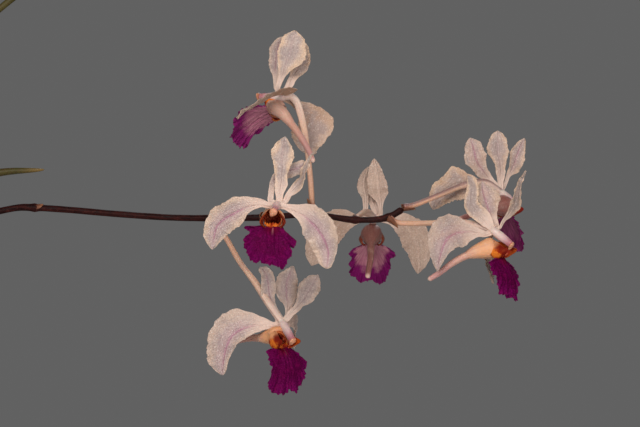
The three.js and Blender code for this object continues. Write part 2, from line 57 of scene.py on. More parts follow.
# Pot and bark
POT_HEIGHT = 105.0
FOOT_RADIUS = 42.0
RIM_RADIUS = 62.0
RIM_HEIGHT = 17.0
RIM_STEP = 3.5
POT_WALL = 5.0
DRAIN_HOLES = 3
DRAIN_RADIUS = 5.0
DRAIN_CIRCLE_RADIUS = 24.0
BARK_TOP = 92.0
BARK_CROWN = 5.0
BARK_GAP = 0.6
CHIPS = 420
CHIP_SIZES = (5.0, 12.0)
CHIP_CORNERS = 16
POT_SIDES = 144
BARK_SIDES = 72
DRAIN_SIDES = 32

# Stem, leaves and roots
STEM_RADIUS = 4.0
STEM_FOOT = 80.0
STEM_TOP = 190.0
STEM_CROWN = 4.0
SHEATH_LENGTH = 15.0
STEM_ROWS = 190
STEM_SIDES = 36
LEAF_RADIUS = 1.55
LEAF_BASE_RADIUS = 2.6
LEAF_TAPER = 18.0
ROOT_RADIUS = 2.3
QUILL_ROWS = 150
QUILL_SIDES = 24

# Flower stalk and pedicels. An empty bract is the place along +X and the way that it points.
STALK_RADIUS = 1.3
PEDICEL_RADIUS = 1.1
OVARY_RADIUS = 1.5
PEDICEL_BRACT_LENGTH = 5.4
EMPTY_BRACT_LENGTH = 4.2
STALK_ROWS = 420
STALK_SIDES = 20
PEDICEL_ROWS = 90
PEDICEL_SIDES = 24
EMPTY_BRACTS = [(62.0, (-0.6, 0.0, 0.8)), (124.0, (0.0, -0.4, 1.0))]

# Petals and sepals
TEPAL_ROWS = 64
TEPAL_COLUMNS = 31
TEPAL_CUP = 0.12
TIP_START = 0.93
MARGIN_WAVE = 0.5
MARGIN_THICKNESS = 0.22
MIDRIB_THICKNESS = 0.6

# Column and lip. Points on the side lobe are across, down and out from the hinge, for its right half.
COLUMN_RADIUS = 1.75
CAP_RADIUS = 1.6
COLUMN_ROWS = 30
CAP_ROWS = 22
COLUMN_SIDES = 28
NECK_WIDTH = 7.6
FAN_ROWS = 36
FAN_COLUMNS = 181
FAN_ARCH = 1.9
FAN_ARCH_LENGTH = 18.0
SPUR_TIP_RADIUS = 1.0
SPUR_ROWS = 60
SPUR_SIDES = 40
SAC_SWELL = 2.5
SAC_MIDDLE = 0.13
SAC_FALL = 3.4
MOUTH_HALF_WIDTH = 4.2
MOUTH_HALF_HEIGHT = 3.3
MOUTH_LEAN = 2.6
MOUTH_PINCH = 0.35
THROAT_ROWS = 22
LOBE_ROWS = 30
LOBE_COLUMNS = 14
SIDE_LOBE_BASE = [
    (0.8, -6.8, -2.8), (2.0, -6.2, -2.8), (3.1, -4.6, -2.6), (4.1, -2.4, -2.0), (3.7, -0.4, -1.2),
    (2.4, 0.3, -0.4),
]
SIDE_LOBE_EDGE = [
    (0.9, -7.1, -1.8), (1.9, -6.6, 0.2), (3.0, -5.2, 2.4), (4.3, -3.3, 4.2), (5.0, -1.5, 6.2),
    (3.4, 0.4, 1.6),
]
CALLUS_WARTS = [
    (-3.0, -1.3, 0.5), (-2.2, -0.7, 0.6), (-1.4, -0.3, 0.6), (-0.5, -0.1, 0.65), (0.5, -0.1, 0.6),
    (1.3, -0.3, 0.65), (2.1, -0.6, 0.6), (2.9, -1.2, 0.5), (-1.0, -0.9, 0.6), (0.1, -0.9, 0.65),
    (1.1, -1.0, 0.55),
]
CALLUS_ADDRESS = (0.7, 0.22, 0.0)
WART_ROWS = 9
WART_SIDES = 14

# Places in a piece's list of materials
THROAT_SLOT = 1
SPUR_SLOT = 2
BRACT_SLOT = 1

# Seeds of the random shapes. A piece's own number is added to the first five.
TEPAL_SEED = 1000
FAN_SEED = 500
LOBE_SEED = 700
WART_SEED = 900
LEAF_SEED = 300
STEM_SEED = 77
BARK_SEED = 42

# Studio
FLOOR_SOLID = 1.1
FLOOR_END = 2.1
FLOOR_SIDES = 96
SURROUND = (0.12, 0.12, 0.12)
LIGHTS = [
    ("key", (-0.35, -1.25, 0.6), 0.7, 13.5, (1.0, 0.96, 0.91)),
    ("fill", (0.6, -1.3, 0.0), 1.0, 9.5, (1.0, 0.97, 0.95)),
    ("rim", (0.3, 1.3, 0.9), 0.9, 6.0, (0.96, 0.98, 1.0)),
]

# Quill leaves: paths of their middles, from the stem outwards.
LEAVES = [
    [(5, 0, 112), (28, -8, 138), (60, -16, 158), (100, -22, 160), (140, -26, 138), (166, -28, 104)],
    [(-5, 0, 121), (-34, 8, 150), (-74, 15, 172), (-120, 20, 176), (-166, 24, 156), (-202, 26, 122)],
    [(5, 0, 146), (24, 18, 190), (50, 34, 236), (78, 44, 290), (96, 50, 348), (104, 52, 400)],
    [
        (-5, 0, 139), (-32, -14, 178), (-68, -28, 212), (-112, -38, 234), (-160, -44, 238),
        (-208, -46, 220),
    ],
    [(5, 0, 163), (24, -12, 198), (50, -19, 243), (80, -20, 275), (110, -20, 285.6), (130, -20, 287.2)],
    [(-5, 0, 157), (-28, 12, 204), (-62, 26, 252), (-104, 38, 292), (-152, 46, 318), (-204, 52, 328)],
    [(4, 2, 178), (24, 8, 232), (60, 14, 302), (110, 18, 355.6), (160, 18, 386), (212, 16, 396)],
    [
        (-4, -1, 174), (-20, -12, 226), (-46, -24, 282), (-80, -34, 336), (-120, -40, 380),
        (-162, -44, 410),
    ],
    [(0, 3, 191), (4, 5, 230), (2, 9, 284), (-8, 14, 336), (-24, 18, 380)],
]

# Roots: two climb over the rim, two dive into the bark, one lies across the bark.
ROOTS = [
    [
        (4, -4, 100), (18, -16, 103), (38, -32, 106), (54, -46, 110), (60, -54, 100), (58, -53, 78),
        (55, -50, 58),
    ],
    [(-4, -4, 104), (-20, -14, 106), (-44, -24, 109), (-62, -33, 110), (-68, -37, 97), (-65, -37, 72)],
    [(-4, 4, 99), (-16, 20, 102), (-24, 36, 97), (-27, 44, 86)],
    [(5, 3, 101), (20, 12, 104), (34, 16, 99), (41, 18, 87)],
    [(0, -5, 98), (-3, -20, 101), (-10, -34, 99.5), (-20, -40, 95)],
]

# Flower stalk: out of a leaf axil, up in an arch, then level along the row of flowers.
STALK = [
    (4.5, -3, 128), (14, -3, 156), (30, -2, 196), (52, -1, 233), (80, 0, 260), (98, 0, 268.2),
    (110, 0, 271), (118, 0, 272.4), (124, 0, 272.3), (138, 0, 271.4), (155, 0, 269.9), (177, 0, 268.4),
    (192, 0, 268.1), (215, 0, 268.4), (235, 0, 269.6), (252, 0, 267.5), (264.5, 0, 268.3),
    (271.2, 0.2, 271.8),
]


def blade(midrib, left, right=None, **more):
    """A petal's or sepal's measures. Its right half is like its left where it isn't given."""
    return {"midrib": midrib, "left": left, "right": right or left, **more}


# Flowers, in order along the stalk. Every point and direction is in the object's own axes. A pedicel's
# points are measured from the origin, and all other points from the flower's centre, at size 1. out is
# the way the flower faces, and a part with no face of its own faces that way too. Half widths are in
# millimetres, evenly spaced from base to tip, and left and right are seen from the face with the tip up.
# lobe is the outline of the lip's fan: across and down from its hinge. twist is in degrees. cup is how
# deep a blade is cupped, as a share of its breadth. sac_swell is how far the spur's sac bulges. These run
# from 0 to 1: flush is how mauve a midrib is, shade how much painted shade turns a blade tan, cream
# how cream its margins are, lip_pale how pale the lip is below, sac_painted_shade how much painted shade
# browns the sac, sac_orange how orange the sac is, and pedicel_shade how much painted shade darkens
# the pedicel's upper side to a dusky mauve.
FLOWERS = [
    dict(
        name="flower_1", centre=(222.9, -5, 226.8), size=1, out=(0.68, -0.7, -0.2),
        pedicel=[
            (195.2, -2.2, 265.8), (199.9, -2.4, 261), (206, -1.6, 250.6), (212, -2.6, 242.6),
            (217.2, -4.8, 234.8),
        ],
        column=(4.1, -4.5, -7),
        spur=[(-2.6, 0.5, -5.6), (-8, 4, -6.4), (-12.8, 8.5, -6.8), (-17.6, 13.5, -8), (-22, 18, -10)],
        hinge=(0, -4.6, -10), lip_tip=(3.2, -7, -28), lip_across=(0.72, 0.7, 0),
        lobe=[
            (-5.2, 0.2), (-7.6, 0.6), (-7.8, 4.5), (-8.4, 8.2), (-8.4, 11.3), (-10.6, 14.2), (-10, 16),
            (-6.7, 17.8), (-3.5, 18.6), (-1.4, 18), (-0.6, 16.8), (0.6, 17), (2.9, 18.2), (5.6, 16.4),
            (7.7, 13.7), (10.2, 10), (12.2, 6.4), (10, 4.1), (7.6, 5), (7.8, 2.9), (5, 0.4),
        ],
        sac_orange=1,
        dorsal_sepal=blade(
            [
                (1.8, 1, 1.6), (2.2, 1.8, 4.7), (2.2, 2.6, 7.5), (1.7, 3.8, 11), (1.7, 5, 15),
                (2.9, 5.6, 19), (4.3, 6, 22.1),
            ],
            [1.2, 1, 1.8, 3.6, 4.8, 5, 4.4, 2.4, 0.4], [1.2, 1, 2.2, 4, 4.2, 4.6, 4.3, 3, 0.4],
            face=(0.3, -1, 0), flush=0.5,
        ),
        petal_left=blade(
            [
                (-0.8, 0.4, 0.5), (-2, 1.2, 3.3), (-3.6, 1.6, 6.1), (-4.6, 1.2, 9.3),
                (-5.2, 0.2, 12.8), (-5.8, -0.6, 16.4), (-6.8, 1, 19.5), (-8.8, 3, 21.8),
            ],
            [1.6, 1.6, 1.6, 2.2, 3.4, 3, 2.2, 1.8, 1.2], [1.3, 1.3, 1.3, 1.5, 2.4, 3, 3, 2.4, 1],
            face=(0.2, -1, 0), flush=0.6,
        ),
        petal_right=blade(
            [
                (1.6, -0.5, 1.2), (3.6, -0.4, 3.8), (6.1, 0.2, 6.2), (8.3, 0.9, 8.7),
                (10.1, 1.3, 11.5), (11.7, 1.9, 14.3), (13.1, 2.5, 16.7), (14.3, 3, 18.7),
            ],
            [1.2, 1.3, 1.2, 2, 3.3, 4.4, 4.3, 3.2, 0.6], [1.2, 1.4, 1.7, 1.6, 3.2, 3.7, 3.8, 2.8, 0.6],
            face=(0.1, -1, 0.1), flush=0.2,
        ),
        lateral_sepal_left=blade(
            [
                (-3.2, 0.5, -1.2), (-8, 0, -1.2), (-12.7, -1, -1.8), (-16.7, -1, -3.3),
                (-19.9, -0.6, -5.7), (-21.5, 0, -8.7), (-22.6, 1, -12.4), (-23.3, 2, -16),
                (-23.9, 3, -21.3),
            ],
            [1.2, 2, 3.1, 3.8, 3.7, 3.2, 2.2, 1.6, 1], [1.2, 3, 5.8, 8.6, 9.2, 8.2, 7.6, 5.7, 1.6],
            face=(0.15, -1, 0.1), flush=1,
        ),
        lateral_sepal_right=blade(
            [(2.4, 2.5, -0.6), (4.2, 6.5, 0), (4.8, 12, -1.8), (4.8, 17.5, -6), (4.4, 20.5, -11.6)],
            [1.3, 2.4, 3.8, 4.8, 5.4, 5.2, 4.2, 2.6, 0.6],
            face=(0.98, -0.2, 0.1), shade=0.6,
        ),
    ),
    dict(
        name="flower_2", centre=(221.6, -44, 273.2), size=0.955, out=(0, -1, -0.12),
        pedicel=[(215.4, -2.4, 268.6), (216.6, -12, 270), (218.4, -24, 272.4), (220.2, -36, 273.6)],
        column=(-1.2, -7, -2.6),
        spur=[(-1.2, -1, -5.4), (-1, 3, -7), (-1.4, 9, -11), (-2.4, 14, -17), (-3.5, 17, -24)],
        hinge=(-1.6, -5, -8.6), lip_tip=(-1.6, -6, -24.8), lip_across=(1, 0, 0),
        lobe=[
            (-4.6, -0.6), (-6.9, -0.2), (-9.9, -0.3), (-11.2, 0.2), (-9.4, 1.4), (-8.9, 2.6),
            (-10.8, 4.1), (-11, 6), (-10.9, 7.5), (-9.9, 9.5), (-8.7, 12.2), (-6.6, 13.8),
            (-4.8, 13.2), (-3.6, 14), (1.5, 15), (3.5, 16.1), (4.9, 14.8), (5.8, 12.5), (7.3, 10.7),
            (7.1, 8.8), (6, 7.2), (7.7, 8.2), (8.7, 6.9), (9.1, 6), (8.1, 4.8), (6.2, 5.1), (4.6, 4.4),
            (5.3, 3.3), (4, 1.2),
        ],
        sac_orange=1,
        dorsal_sepal=blade(
            [
                (0.9, 0.6, 2), (1.1, 0.6, 5.2), (1.6, 0.6, 10), (1.8, 1, 15.7), (2.1, 2.5, 20.9),
                (3.2, 5, 27.5),
            ],
            [1.3, 1.9, 2.3, 2.5, 3, 4, 4.4, 3, 0.5], [1.2, 1.7, 2.9, 2.3, 3.4, 4.5, 4.6, 2.9, 0.4],
            flush=0.15, cream=1,
        ),
        petal_left=blade(
            [
                (-2.4, 1, 1.7), (-2.4, 2, 5.3), (-1.8, 3, 8.9), (-0.1, 4, 11.6), (3.1, 5, 13.2),
                (7.1, 5.6, 14.6), (12, 6, 16.4),
            ],
            [1.2, 1.1, 1, 1.4, 1.9, 2.2, 2.4, 2.5, 2.4], [1.2, 1.2, 1.2, 1.6, 2.3, 2.7, 2.8, 2.7, 2.4],
            flush=0.7, cream=0.3,
        ),
        petal_right=blade(
            [
                (3.2, 1, 1.6), (4.8, 1, 4.4), (7.2, 1.2, 7), (9.4, 1.6, 9.6), (10.8, 2.2, 12.8),
                (12, 3, 16.4), (13.6, 4.2, 19.8), (15.6, 5.5, 21.5),
            ],
            [1.2, 1.2, 1.6, 2.8, 3.2, 2.6, 1.4, 0.8, 0.4],
            [1.2, 1.4, 2.6, 3.8, 3.2, 2.2, 1.3, 0.8, 0.4],
            face=(-0.75, -0.65, 0.1), twist=[-20, -30, -10, 10, 20, 10, 0, 0, 0], cream=0.7,
        ),
        lateral_sepal_left=blade(
            [
                (-3.6, 0, 0), (-6, -0.4, 0.3), (-8.8, -0.8, -0.2), (-13.6, -1, -1.6),
                (-18.4, -0.4, -4), (-22, 0.4, -6.3), (-24, 1, -8.6), (-25.1, 2, -12), (-26, 3, -17.7),
            ],
            [1.2, 1.2, 2, 4.6, 5.6, 5.6, 5.2, 3, 0.8], [1.2, 2.8, 4.7, 5.9, 5.9, 6, 4.8, 3.8, 1],
            flush=0.9, cream=0.5,
        ),
        lateral_sepal_right=blade(
            [
                (3.2, 0, -0.6), (5.6, -0.4, -1.7), (8, -0.8, -2.9), (10.8, -1, -4.7), (14, -0.4, -7.1),
                (16.8, 0.6, -10.6), (19.2, 1.4, -14.4), (20.4, 2.2, -18), (20.4, 2.8, -22),
                (19.7, 3, -25.3),
            ],
            [1.2, 3, 5.8, 7, 6.9, 6.2, 4, 2.6, 1.8], [1.2, 1.6, 2.8, 5.4, 5.9, 6, 5.9, 4.8, 2.8],
            flush=1, cream=0.4,
        ),
    ),
    dict(
        name="flower_3", centre=(222.5, -4, 316.4), size=1, out=(-0.75, 0.6, -0.15),
        pedicel=[
            (235, 0, 271.4), (234.2, -0.5, 283.4), (233.2, -1, 293.4), (231.6, -1.5, 303.8),
            (230.2, -2, 310), (228.6, -2.5, 314.6), (226, -3, 316.8),
        ],
        column=(-8.6, 3, 0.2),
        spur=[
            (-3.2, 0.5, -3.6), (0.8, -3, -6.8), (4.8, -7, -11.8), (8.4, -11, -17), (11.2, -14.5, -22),
            (13, -17, -26.4),
        ],
        hinge=(-4.4, 3, -6.4), lip_tip=(-18, 7, -17.4), lip_across=(-0.32, -0.72, 0.62),
        lobe=[
            (-4.4, 0), (-4.9, 2), (-4.9, 4.2), (-5.2, 6.8), (-5.7, 9.3), (-4.4, 11.4), (-4.1, 13.5),
            (-5.9, 15.9), (-4.2, 17.8), (-1, 18.6), (2.8, 19.4), (4.8, 18.8), (6.6, 17.1), (9, 15.6),
            (11.2, 13.5), (12.3, 10.4), (10.4, 7), (8.6, 4), (6, 1.6), (4.4, 0.2),
        ],
        lip_pale=0.8, sac_swell=1.1,
        dorsal_sepal=blade(
            [
                (-1.3, -0.8, 3.2), (-0.7, -1, 5.9), (0.6, -1.3, 9.1), (1.8, -1.7, 12.6),
                (3, -1.8, 16.6), (4.2, -1.4, 20.6), (5.7, -0.4, 26.3),
            ],
            [1, 1, 1.6, 2.9, 4, 4.5, 4.6, 4, 1.2], [1, 1.2, 1.6, 3.2, 6.2, 6.8, 6.2, 4.6, 1.2],
            face=(-0.15, -1, 0), flush=0.1, cream=0.9,
        ),
        petal_left=blade(
            [
                (2.3, 1.2, 3.3), (3.7, 2, 6.5), (5.5, 3.4, 9.8), (7.1, 4.4, 13), (7.9, 5, 16.7),
                (8.1, 5.4, 19.9), (7.9, 5.8, 22.7),
            ],
            [1.3, 1.2, 1.4, 2.1, 2.7, 3, 3.2, 2.8, 1.4], [1.4, 1.8, 1.9, 2.6, 3.8, 3.9, 3.5, 2.8, 1.4],
            face=(0.1, -1, 0), shade=0.3, cream=0.8,
        ),
        petal_right=blade(
            [
                (-1.8, 1.6, 3.3), (-2.3, 2, 6.5), (-2.5, 3, 9.7), (-2.3, 4, 13), (-1.9, 4.6, 16.6),
                (-1.3, 5, 20.3), (0.3, 5.6, 24.3),
            ],
            [0.9, 0.8, 1, 2, 2.9, 2.7, 3.2, 2.2, 0.9], [1, 1, 1.4, 2, 2.7, 3, 3.2, 2.6, 1],
            face=(-0.1, -1, 0), flush=0.6, cream=0.3,
        ),
        lateral_sepal_left=blade(
            [
                (1.5, 2.6, -0.7), (5.5, 5.5, -2.5), (9.9, 9, -5.6), (12.4, 11, -9.5),
                (12.4, 12.6, -14.3), (10.2, 13.8, -19.1), (8.6, 14.5, -21.3),
            ],
            [1.2, 1.4, 2.2, 4, 6.4, 8.6, 5.8, 4.6, 3.6], [1.2, 1.4, 2.6, 5, 6.6, 7.4, 8, 7.8, 5.2],
            face=(0.1, -1, 0.2), shade=0.75, cream=0.6,
        ),
        lateral_sepal_right=blade(
            [
                (4.6, -2.4, 2), (2.4, -4, 2), (-1.2, -7.4, 1), (-7.4, -13, -2.2), (-12.4, -19, -5.2),
                (-16.8, -24, -9.2),
            ],
            [2.2, 3.4, 4.2, 5, 5.2, 5, 4.4, 3, 1],
            face=(-0.3, 0.2, 0.93), shade=1,
        ),
    ),
    dict(
        name="flower_4", centre=(260.2, 44, 268.1), size=1.046, out=(0, 1, -0.1),
        pedicel=[(252.2, 2.2, 267.6), (253.6, 12, 269), (256, 24, 270.4), (258.4, 36, 270)],
        column=(0, 7, -3),
        spur=[
            (-0.6, 1, -6.6), (-0.8, -4, -8.6), (-1, -9, -12), (-1.2, -13, -16), (-2, -16, -20),
            (-2.6, -19, -23.4),
        ],
        hinge=(-0.4, 6, -10.6), lip_tip=(-1.2, 8, -27), lip_across=(-1, 0, 0),
        lobe=[
            (-4.2, 0.2), (-6.8, 1.4), (-8.8, 2.6), (-10.3, 4.7), (-8, 6.8), (-8.5, 9.1), (-7.8, 12),
            (-6.8, 14.6), (-5.4, 16.6), (-2.9, 16.7), (-1.6, 15.6), (0.3, 15.4), (2, 16), (4.5, 16.1),
            (5.8, 14.4), (7.1, 13.9), (9, 12.2), (8.2, 10.4), (9.2, 8.3), (8, 6.4), (9.4, 3.8),
            (7.6, 2), (4.2, 0.2),
        ],
        lip_pale=1, sac_painted_shade=1,
        dorsal_sepal=blade(
            [
                (2.9, -0.8, 1.2), (3, -0.8, 4.8), (2.5, -1, 8.4), (2, -1.4, 12.4), (1.7, -1.3, 16),
                (1.2, -0.9, 19.6), (0.4, -0.2, 23.6),
            ],
            [0.7, 0.7, 1.8, 3.7, 3.8, 3.2, 2.4, 1.7, 0.6], [0.7, 0.9, 1.6, 3.7, 4.2, 4, 3.5, 2.5, 0.6],
            shade=0.2,
        ),
        petal_left=blade(
            [
                (1.2, 2, 2), (0.4, 2.8, 4.8), (-0.6, 3.8, 7.6), (-1, 4.8, 11.2), (-0.4, 5.8, 15.2),
                (0.4, 6.4, 18.8),
            ],
            [1.3, 1.4, 1.5, 1.7, 2.3, 2.8, 2.7, 2, 0.6],
        ),
        petal_right=blade(
            [
                (-2.8, 1, 1.2), (-2.9, 1.4, 5.2), (-3.1, 1.8, 8.8), (-3.7, 2.2, 12), (-3.6, 2.6, 15.3),
                (-2.6, 3.2, 18.1), (-1.8, 3.6, 20.5),
            ],
            [1, 1, 1, 1.3, 1.9, 2.3, 2.3, 1.7, 0.5], [1, 1.1, 1.1, 1.5, 2.4, 2.5, 2.1, 1.5, 0.5],
        ),
        lateral_sepal_left=blade(
            [
                (2.8, 0, -0.4), (6.4, 1, 0), (10.4, 1.8, -1.2), (14.1, 2.6, -4.4), (16.5, 3.4, -8.4),
                (18.1, 4.2, -13.2), (18.2, 5, -22.3),
            ],
            [1.2, 2.6, 3.8, 4.6, 5.2, 5.2, 4.2, 2.7, 0.8],
            [1.2, 1.7, 3.8, 5.4, 6.6, 6.4, 5.6, 3.6, 0.8],
            shade=0.3,
        ),
        lateral_sepal_right=blade(
            [
                (-2.8, 0, -0.4), (-6.4, 1, 0.2), (-10.4, 1.8, -0.4), (-14.8, 2.6, -3.2),
                (-18.8, 3.4, -7.6), (-22, 4.2, -12.4), (-24.6, 5, -19.1),
            ],
            [1.2, 1.2, 4.2, 6.6, 7, 6.8, 5.8, 4.2, 0.9], [1.2, 2.8, 4.2, 4.8, 5.4, 5.7, 5.2, 3.8, 0.9],
            shade=0.6,
        ),
    ),
    dict(
        name="flower_5", centre=(306.6, -14, 263.1), size=0.985, out=(0.94, -0.28, -0.2),
        pedicel=[
            (266, -2.3, 268), (269, -3.4, 266.4), (281.6, -6.5, 266.2), (292, -9.5, 266.4),
            (301, -12.4, 265.2),
        ],
        column=(6.4, -2, -5.4),
        spur=[
            (1.2, -1, -6.6), (-4.8, -1.5, -7.6), (-10.8, -2, -9.6), (-16.8, -2, -12.8),
            (-22, -1, -16.8), (-26.4, 0, -19.6),
        ],
        hinge=(2.4, -1.6, -10.6), lip_tip=(7.6, -3, -28), lip_across=(0.45, 0.89, 0),
        lobe=[
            (-4.6, 0.2), (-9, 1.4), (-11.4, 5.9), (-10.4, 10.5), (-10.1, 14.2), (-7.6, 15),
            (-4.1, 16.6), (-1.6, 16.2), (1.5, 17.9), (3.6, 17.2), (5.1, 15), (4.8, 13), (6.8, 11.7),
            (10, 9.4), (13.3, 7.6), (12, 5.6), (9.6, 5.1), (7.6, 5), (5.4, 3.5), (4, 0.4),
        ],
        sac_orange=0.9,
        dorsal_sepal=blade(
            [
                (0.9, 1.8, 1.6), (-0.6, 1.4, 4.8), (-2.4, 0.6, 8.8), (-3.7, 0.6, 12.8),
                (-4.5, 1.4, 16.4), (-4.6, 3, 19.6),
            ],
            [1.2, 1.6, 2.1, 2.4, 2.8, 3, 2.7, 1.9, 0.8], [1.2, 1.8, 2.6, 4.2, 5.6, 6, 5.6, 4.4, 1],
            face=(0.3, -1, 0), flush=1, cup=0.3, cream=0.4, shade=0.35,
        ),
        petal_left=blade(
            [
                (-1.3, -1, 1.2), (-4.1, -1.4, 4), (-6.9, -1.8, 7), (-8.8, -2, 10), (-9.3, -1.8, 13.2),
                (-8.9, -1.3, 16.4), (-8.9, -0.6, 19.2), (-10.4, 0.4, 22.2),
            ],
            [1.2, 1.8, 2.4, 3, 3.4, 2.6, 2.2, 1.9, 0.8], [1.8, 3.2, 4, 3.4, 3, 2.8, 2.6, 2.2, 0.6],
            face=(0.2, -1, 0), shade=0.25, cream=1,
        ),
        petal_right=blade(
            [
                (2.4, 0.2, 1.6), (4.4, 0.6, 5), (6.8, 1, 8.8), (8.6, 1.6, 12.4), (9.6, 2.2, 16),
                (10.6, 3, 20), (11.6, 3.4, 22), (13.2, 4, 24),
            ],
            [0.8, 0.9, 1.4, 2.4, 3.1, 2.5, 1.4, 0.8, 0.6], [0.8, 1, 2.6, 4, 4.4, 2.9, 1.9, 1.1, 0.6],
            face=(0.8, -0.6, -0.1), shade=0.4, cream=0.7,
        ),
        lateral_sepal_left=blade(
            [
                (-3.3, -1, -1.2), (-6.6, -2.6, -0.7), (-11.1, -4.4, -0.1), (-15.6, -6, -0.9),
                (-18.4, -7, -2.5), (-20, -7.6, -4.7), (-21.1, -8, -7.5), (-22, -7.8, -10.7),
                (-23, -7, -16),
            ],
            [1.2, 1.8, 4.6, 5.9, 5.6, 4.4, 2.8, 1.5, 0.4], [1.2, 1.9, 3.2, 6.6, 9, 7.7, 5.6, 3, 0.4],
            face=(0.2, -1, 0.1), flush=1, cream=0.2, shade=0.35,
        ),
        lateral_sepal_right=blade(
            [(-0.4, 3, -1.2), (-1, 9, -3.4), (-1.6, 13, -8), (-1.2, 14.5, -14), (0.8, 14.5, -21.4)],
            [1.2, 2.4, 3.4, 4, 4.2, 3.8, 3, 1.9, 0.5],
            face=(0.9, -0.42, 0), shade=0.8,
        ),
    ),
    dict(
        name="flower_6", centre=(311.2, 16, 278.7), size=1.017, out=(0.92, 0.3, -0.2),
        pedicel=[
            (271.6, 0.8, 272.6), (275, 1.6, 273.2), (286, 4.5, 277.4), (297, 8, 281.6),
            (305, 12, 282.4),
        ],
        pedicel_shade=1, sac_painted_shade=1, column=(5.6, 2.5, -4.4),
        spur=[(1.2, -0.5, -5.4), (-3, -4, -6.4), (-8, -8, -8), (-13, -11, -9.4), (-17.6, -13, -11)],
        hinge=(2.4, 2.4, -9.6), lip_tip=(5.4, 4, -24.4), lip_across=(-0.4, 0.9, 0),
        lobe=[
            (-4.4, 0.2), (-8.6, 0.4), (-10.4, 2.4), (-9.6, 4.6), (-10.8, 7.4), (-9.8, 10.6),
            (-8.2, 13.4), (-5.8, 14.8), (-2.4, 14.4), (0.4, 13.8), (3.2, 15), (6, 13.8), (8, 11.4),
            (9.4, 8.4), (8.6, 6.2), (10.2, 4), (8.4, 2.2), (6.2, 2.8), (4.4, 0.2),
        ],
        dorsal_sepal=blade(
            [
                (0.2, 0, 1.6), (0.1, 0.2, 4.8), (0.1, 0.4, 8), (0, 0.7, 11.3), (-0.6, 1, 14.5),
                (-0.8, 1.6, 17.7), (-0.7, 2.3, 20.9), (-0.6, 3, 24.5),
            ],
            [1, 1.1, 1.8, 2, 2.6, 4.5, 4.3, 3.2, 1.4], [1, 1.4, 2.1, 2.1, 3.6, 4.3, 3.9, 3.4, 1.6],
            face=(0.2, -1, 0), flush=0.2, cream=0.6, shade=0.35,
        ),
        petal_left=blade(
            [
                (-1.7, -1.6, 2.4), (-3.6, -2.2, 4.8), (-6, -2.8, 7.2), (-8.1, -3.4, 10),
                (-9.6, -4, 12.7), (-10.5, -4, 15.9), (-11.2, -3.6, 18.7), (-12.2, -3, 21.5),
            ],
            [1.2, 1.5, 2.5, 3.2, 3.6, 4.8, 4.2, 3.2, 1.2], [1.2, 1, 1.7, 2, 3.6, 4.4, 3.9, 3.2, 1],
            face=(0.2, -1, 0.1), flush=0.9, cream=0.2, shade=0.35,
        ),
        petal_right=blade(
            [
                (1.7, 1.8, 2.1), (3, 2.8, 5.4), (4.7, 4.2, 8.8), (6.4, 5.6, 12.2), (7.5, 6.4, 15.4),
                (8.6, 7, 18.6), (10.3, 7, 21.7),
            ],
            [0.8, 0.8, 1.1, 1.6, 2.5, 3.3, 3, 1.9, 0.4], [0.8, 0.8, 1, 2.9, 3.6, 3.5, 3, 2.3, 0.6],
            face=(0.4, -1, 0), flush=0.7, cream=0.5, shade=0.3,
        ),
        lateral_sepal_left=blade(
            [
                (-3.7, -2, 0.4), (-7.4, -3.4, 1.8), (-11.5, -4.6, 2.8), (-15.9, -5.4, 3),
                (-19.9, -5.4, 2.1), (-23.1, -5.2, 0), (-25.4, -4.8, -2.8), (-27.1, -4, -6.8),
            ],
            [1.2, 3, 5.2, 6.1, 6.1, 5.7, 4.9, 3.6, 1.2], [1.2, 1.9, 3.1, 4.5, 7.4, 5.1, 4.7, 3.2, 1],
            face=(0, -1, 0.1), shade=0.5, cream=1,
        ),
        lateral_sepal_right=blade(
            [(0, 4, -0.8), (0.6, 9, -0.6), (0.4, 15, -4), (-1, 19.5, -9.4), (-2.4, 22, -15.6)],
            [1.2, 2.4, 3.8, 4.8, 5.4, 5.2, 4.2, 2.6, 0.6],
            shade=0.6,
        ),
    ),
]

TEPALS = ["dorsal_sepal", "petal_left", "petal_right", "lateral_sepal_left", "lateral_sepal_right"]


# Curves and numbers

def unit(v):
    v = np.asarray(v, float)
    return v / np.maximum(np.linalg.norm(v, axis=-1, keepdims=True), 1e-9)


def smoothstep(x, low, high):
    t = np.clip((np.asarray(x, float) - low) / (high - low), 0, 1)
    return t * t * (3 - 2 * t)


def hump(x, width):
    """1 where x is 0, falling away smoothly to almost 0 at twice the width."""
    return np.exp(-((x / width) ** 2))


def round_end(x, start, length, least):
    """1 up to the start, then a quarter circle down over the length, to the square root of least."""
    return np.sqrt(np.clip(1 - (np.clip(x - start, 0, None) / length) ** 2, least, 1))


def out_along(start, *ways):
    """Places reached from the start by going an amount in each direction in turn."""
    for direction, amount in ways:
        start = start + direction * amount[..., None]
    return start


def curve(points, shares):
    """Places and directions at shares of the length of a centripetal Catmull-Rom curve, and its length."""
    p = np.array(points, float)
    q = np.vstack([2 * p[0] - p[1], p, 2 * p[-1] - p[-2]])
    u = np.linspace(0, 1, 24, endpoint=False)[:, None]
    dense = []
    for a, b, c, d in zip(q, q[1:], q[2:], q[3:]):
        before, span, after = (max(np.linalg.norm(v), 1e-6) ** 0.5 for v in (b - a, c - b, d - c))
        leave = ((b - a) / before - (c - a) / (before + span) + (c - b) / span) * span
        arrive = ((c - b) / span - (d - b) / (span + after) + (d - c) / after) * span
        cubic = 2 * b - 2 * c + leave + arrive
        square = 3 * c - 3 * b - 2 * leave - arrive
        dense.append(b + leave * u + square * u**2 + cubic * u**3)
    dense = np.vstack(dense + [p[-1:]])
    run = np.concatenate([[0], np.cumsum(np.linalg.norm(np.diff(dense, axis=0), axis=1))])
    slope = np.gradient(dense, run, axis=0)
    at = np.asarray(shares, float) * run[-1]
    place = np.stack([np.interp(at, run, dense[:, i]) for i in range(3)], 1)
    along = np.stack([np.interp(at, run, slope[:, i]) for i in range(3)], 1)
    return place, unit(along), run[-1]


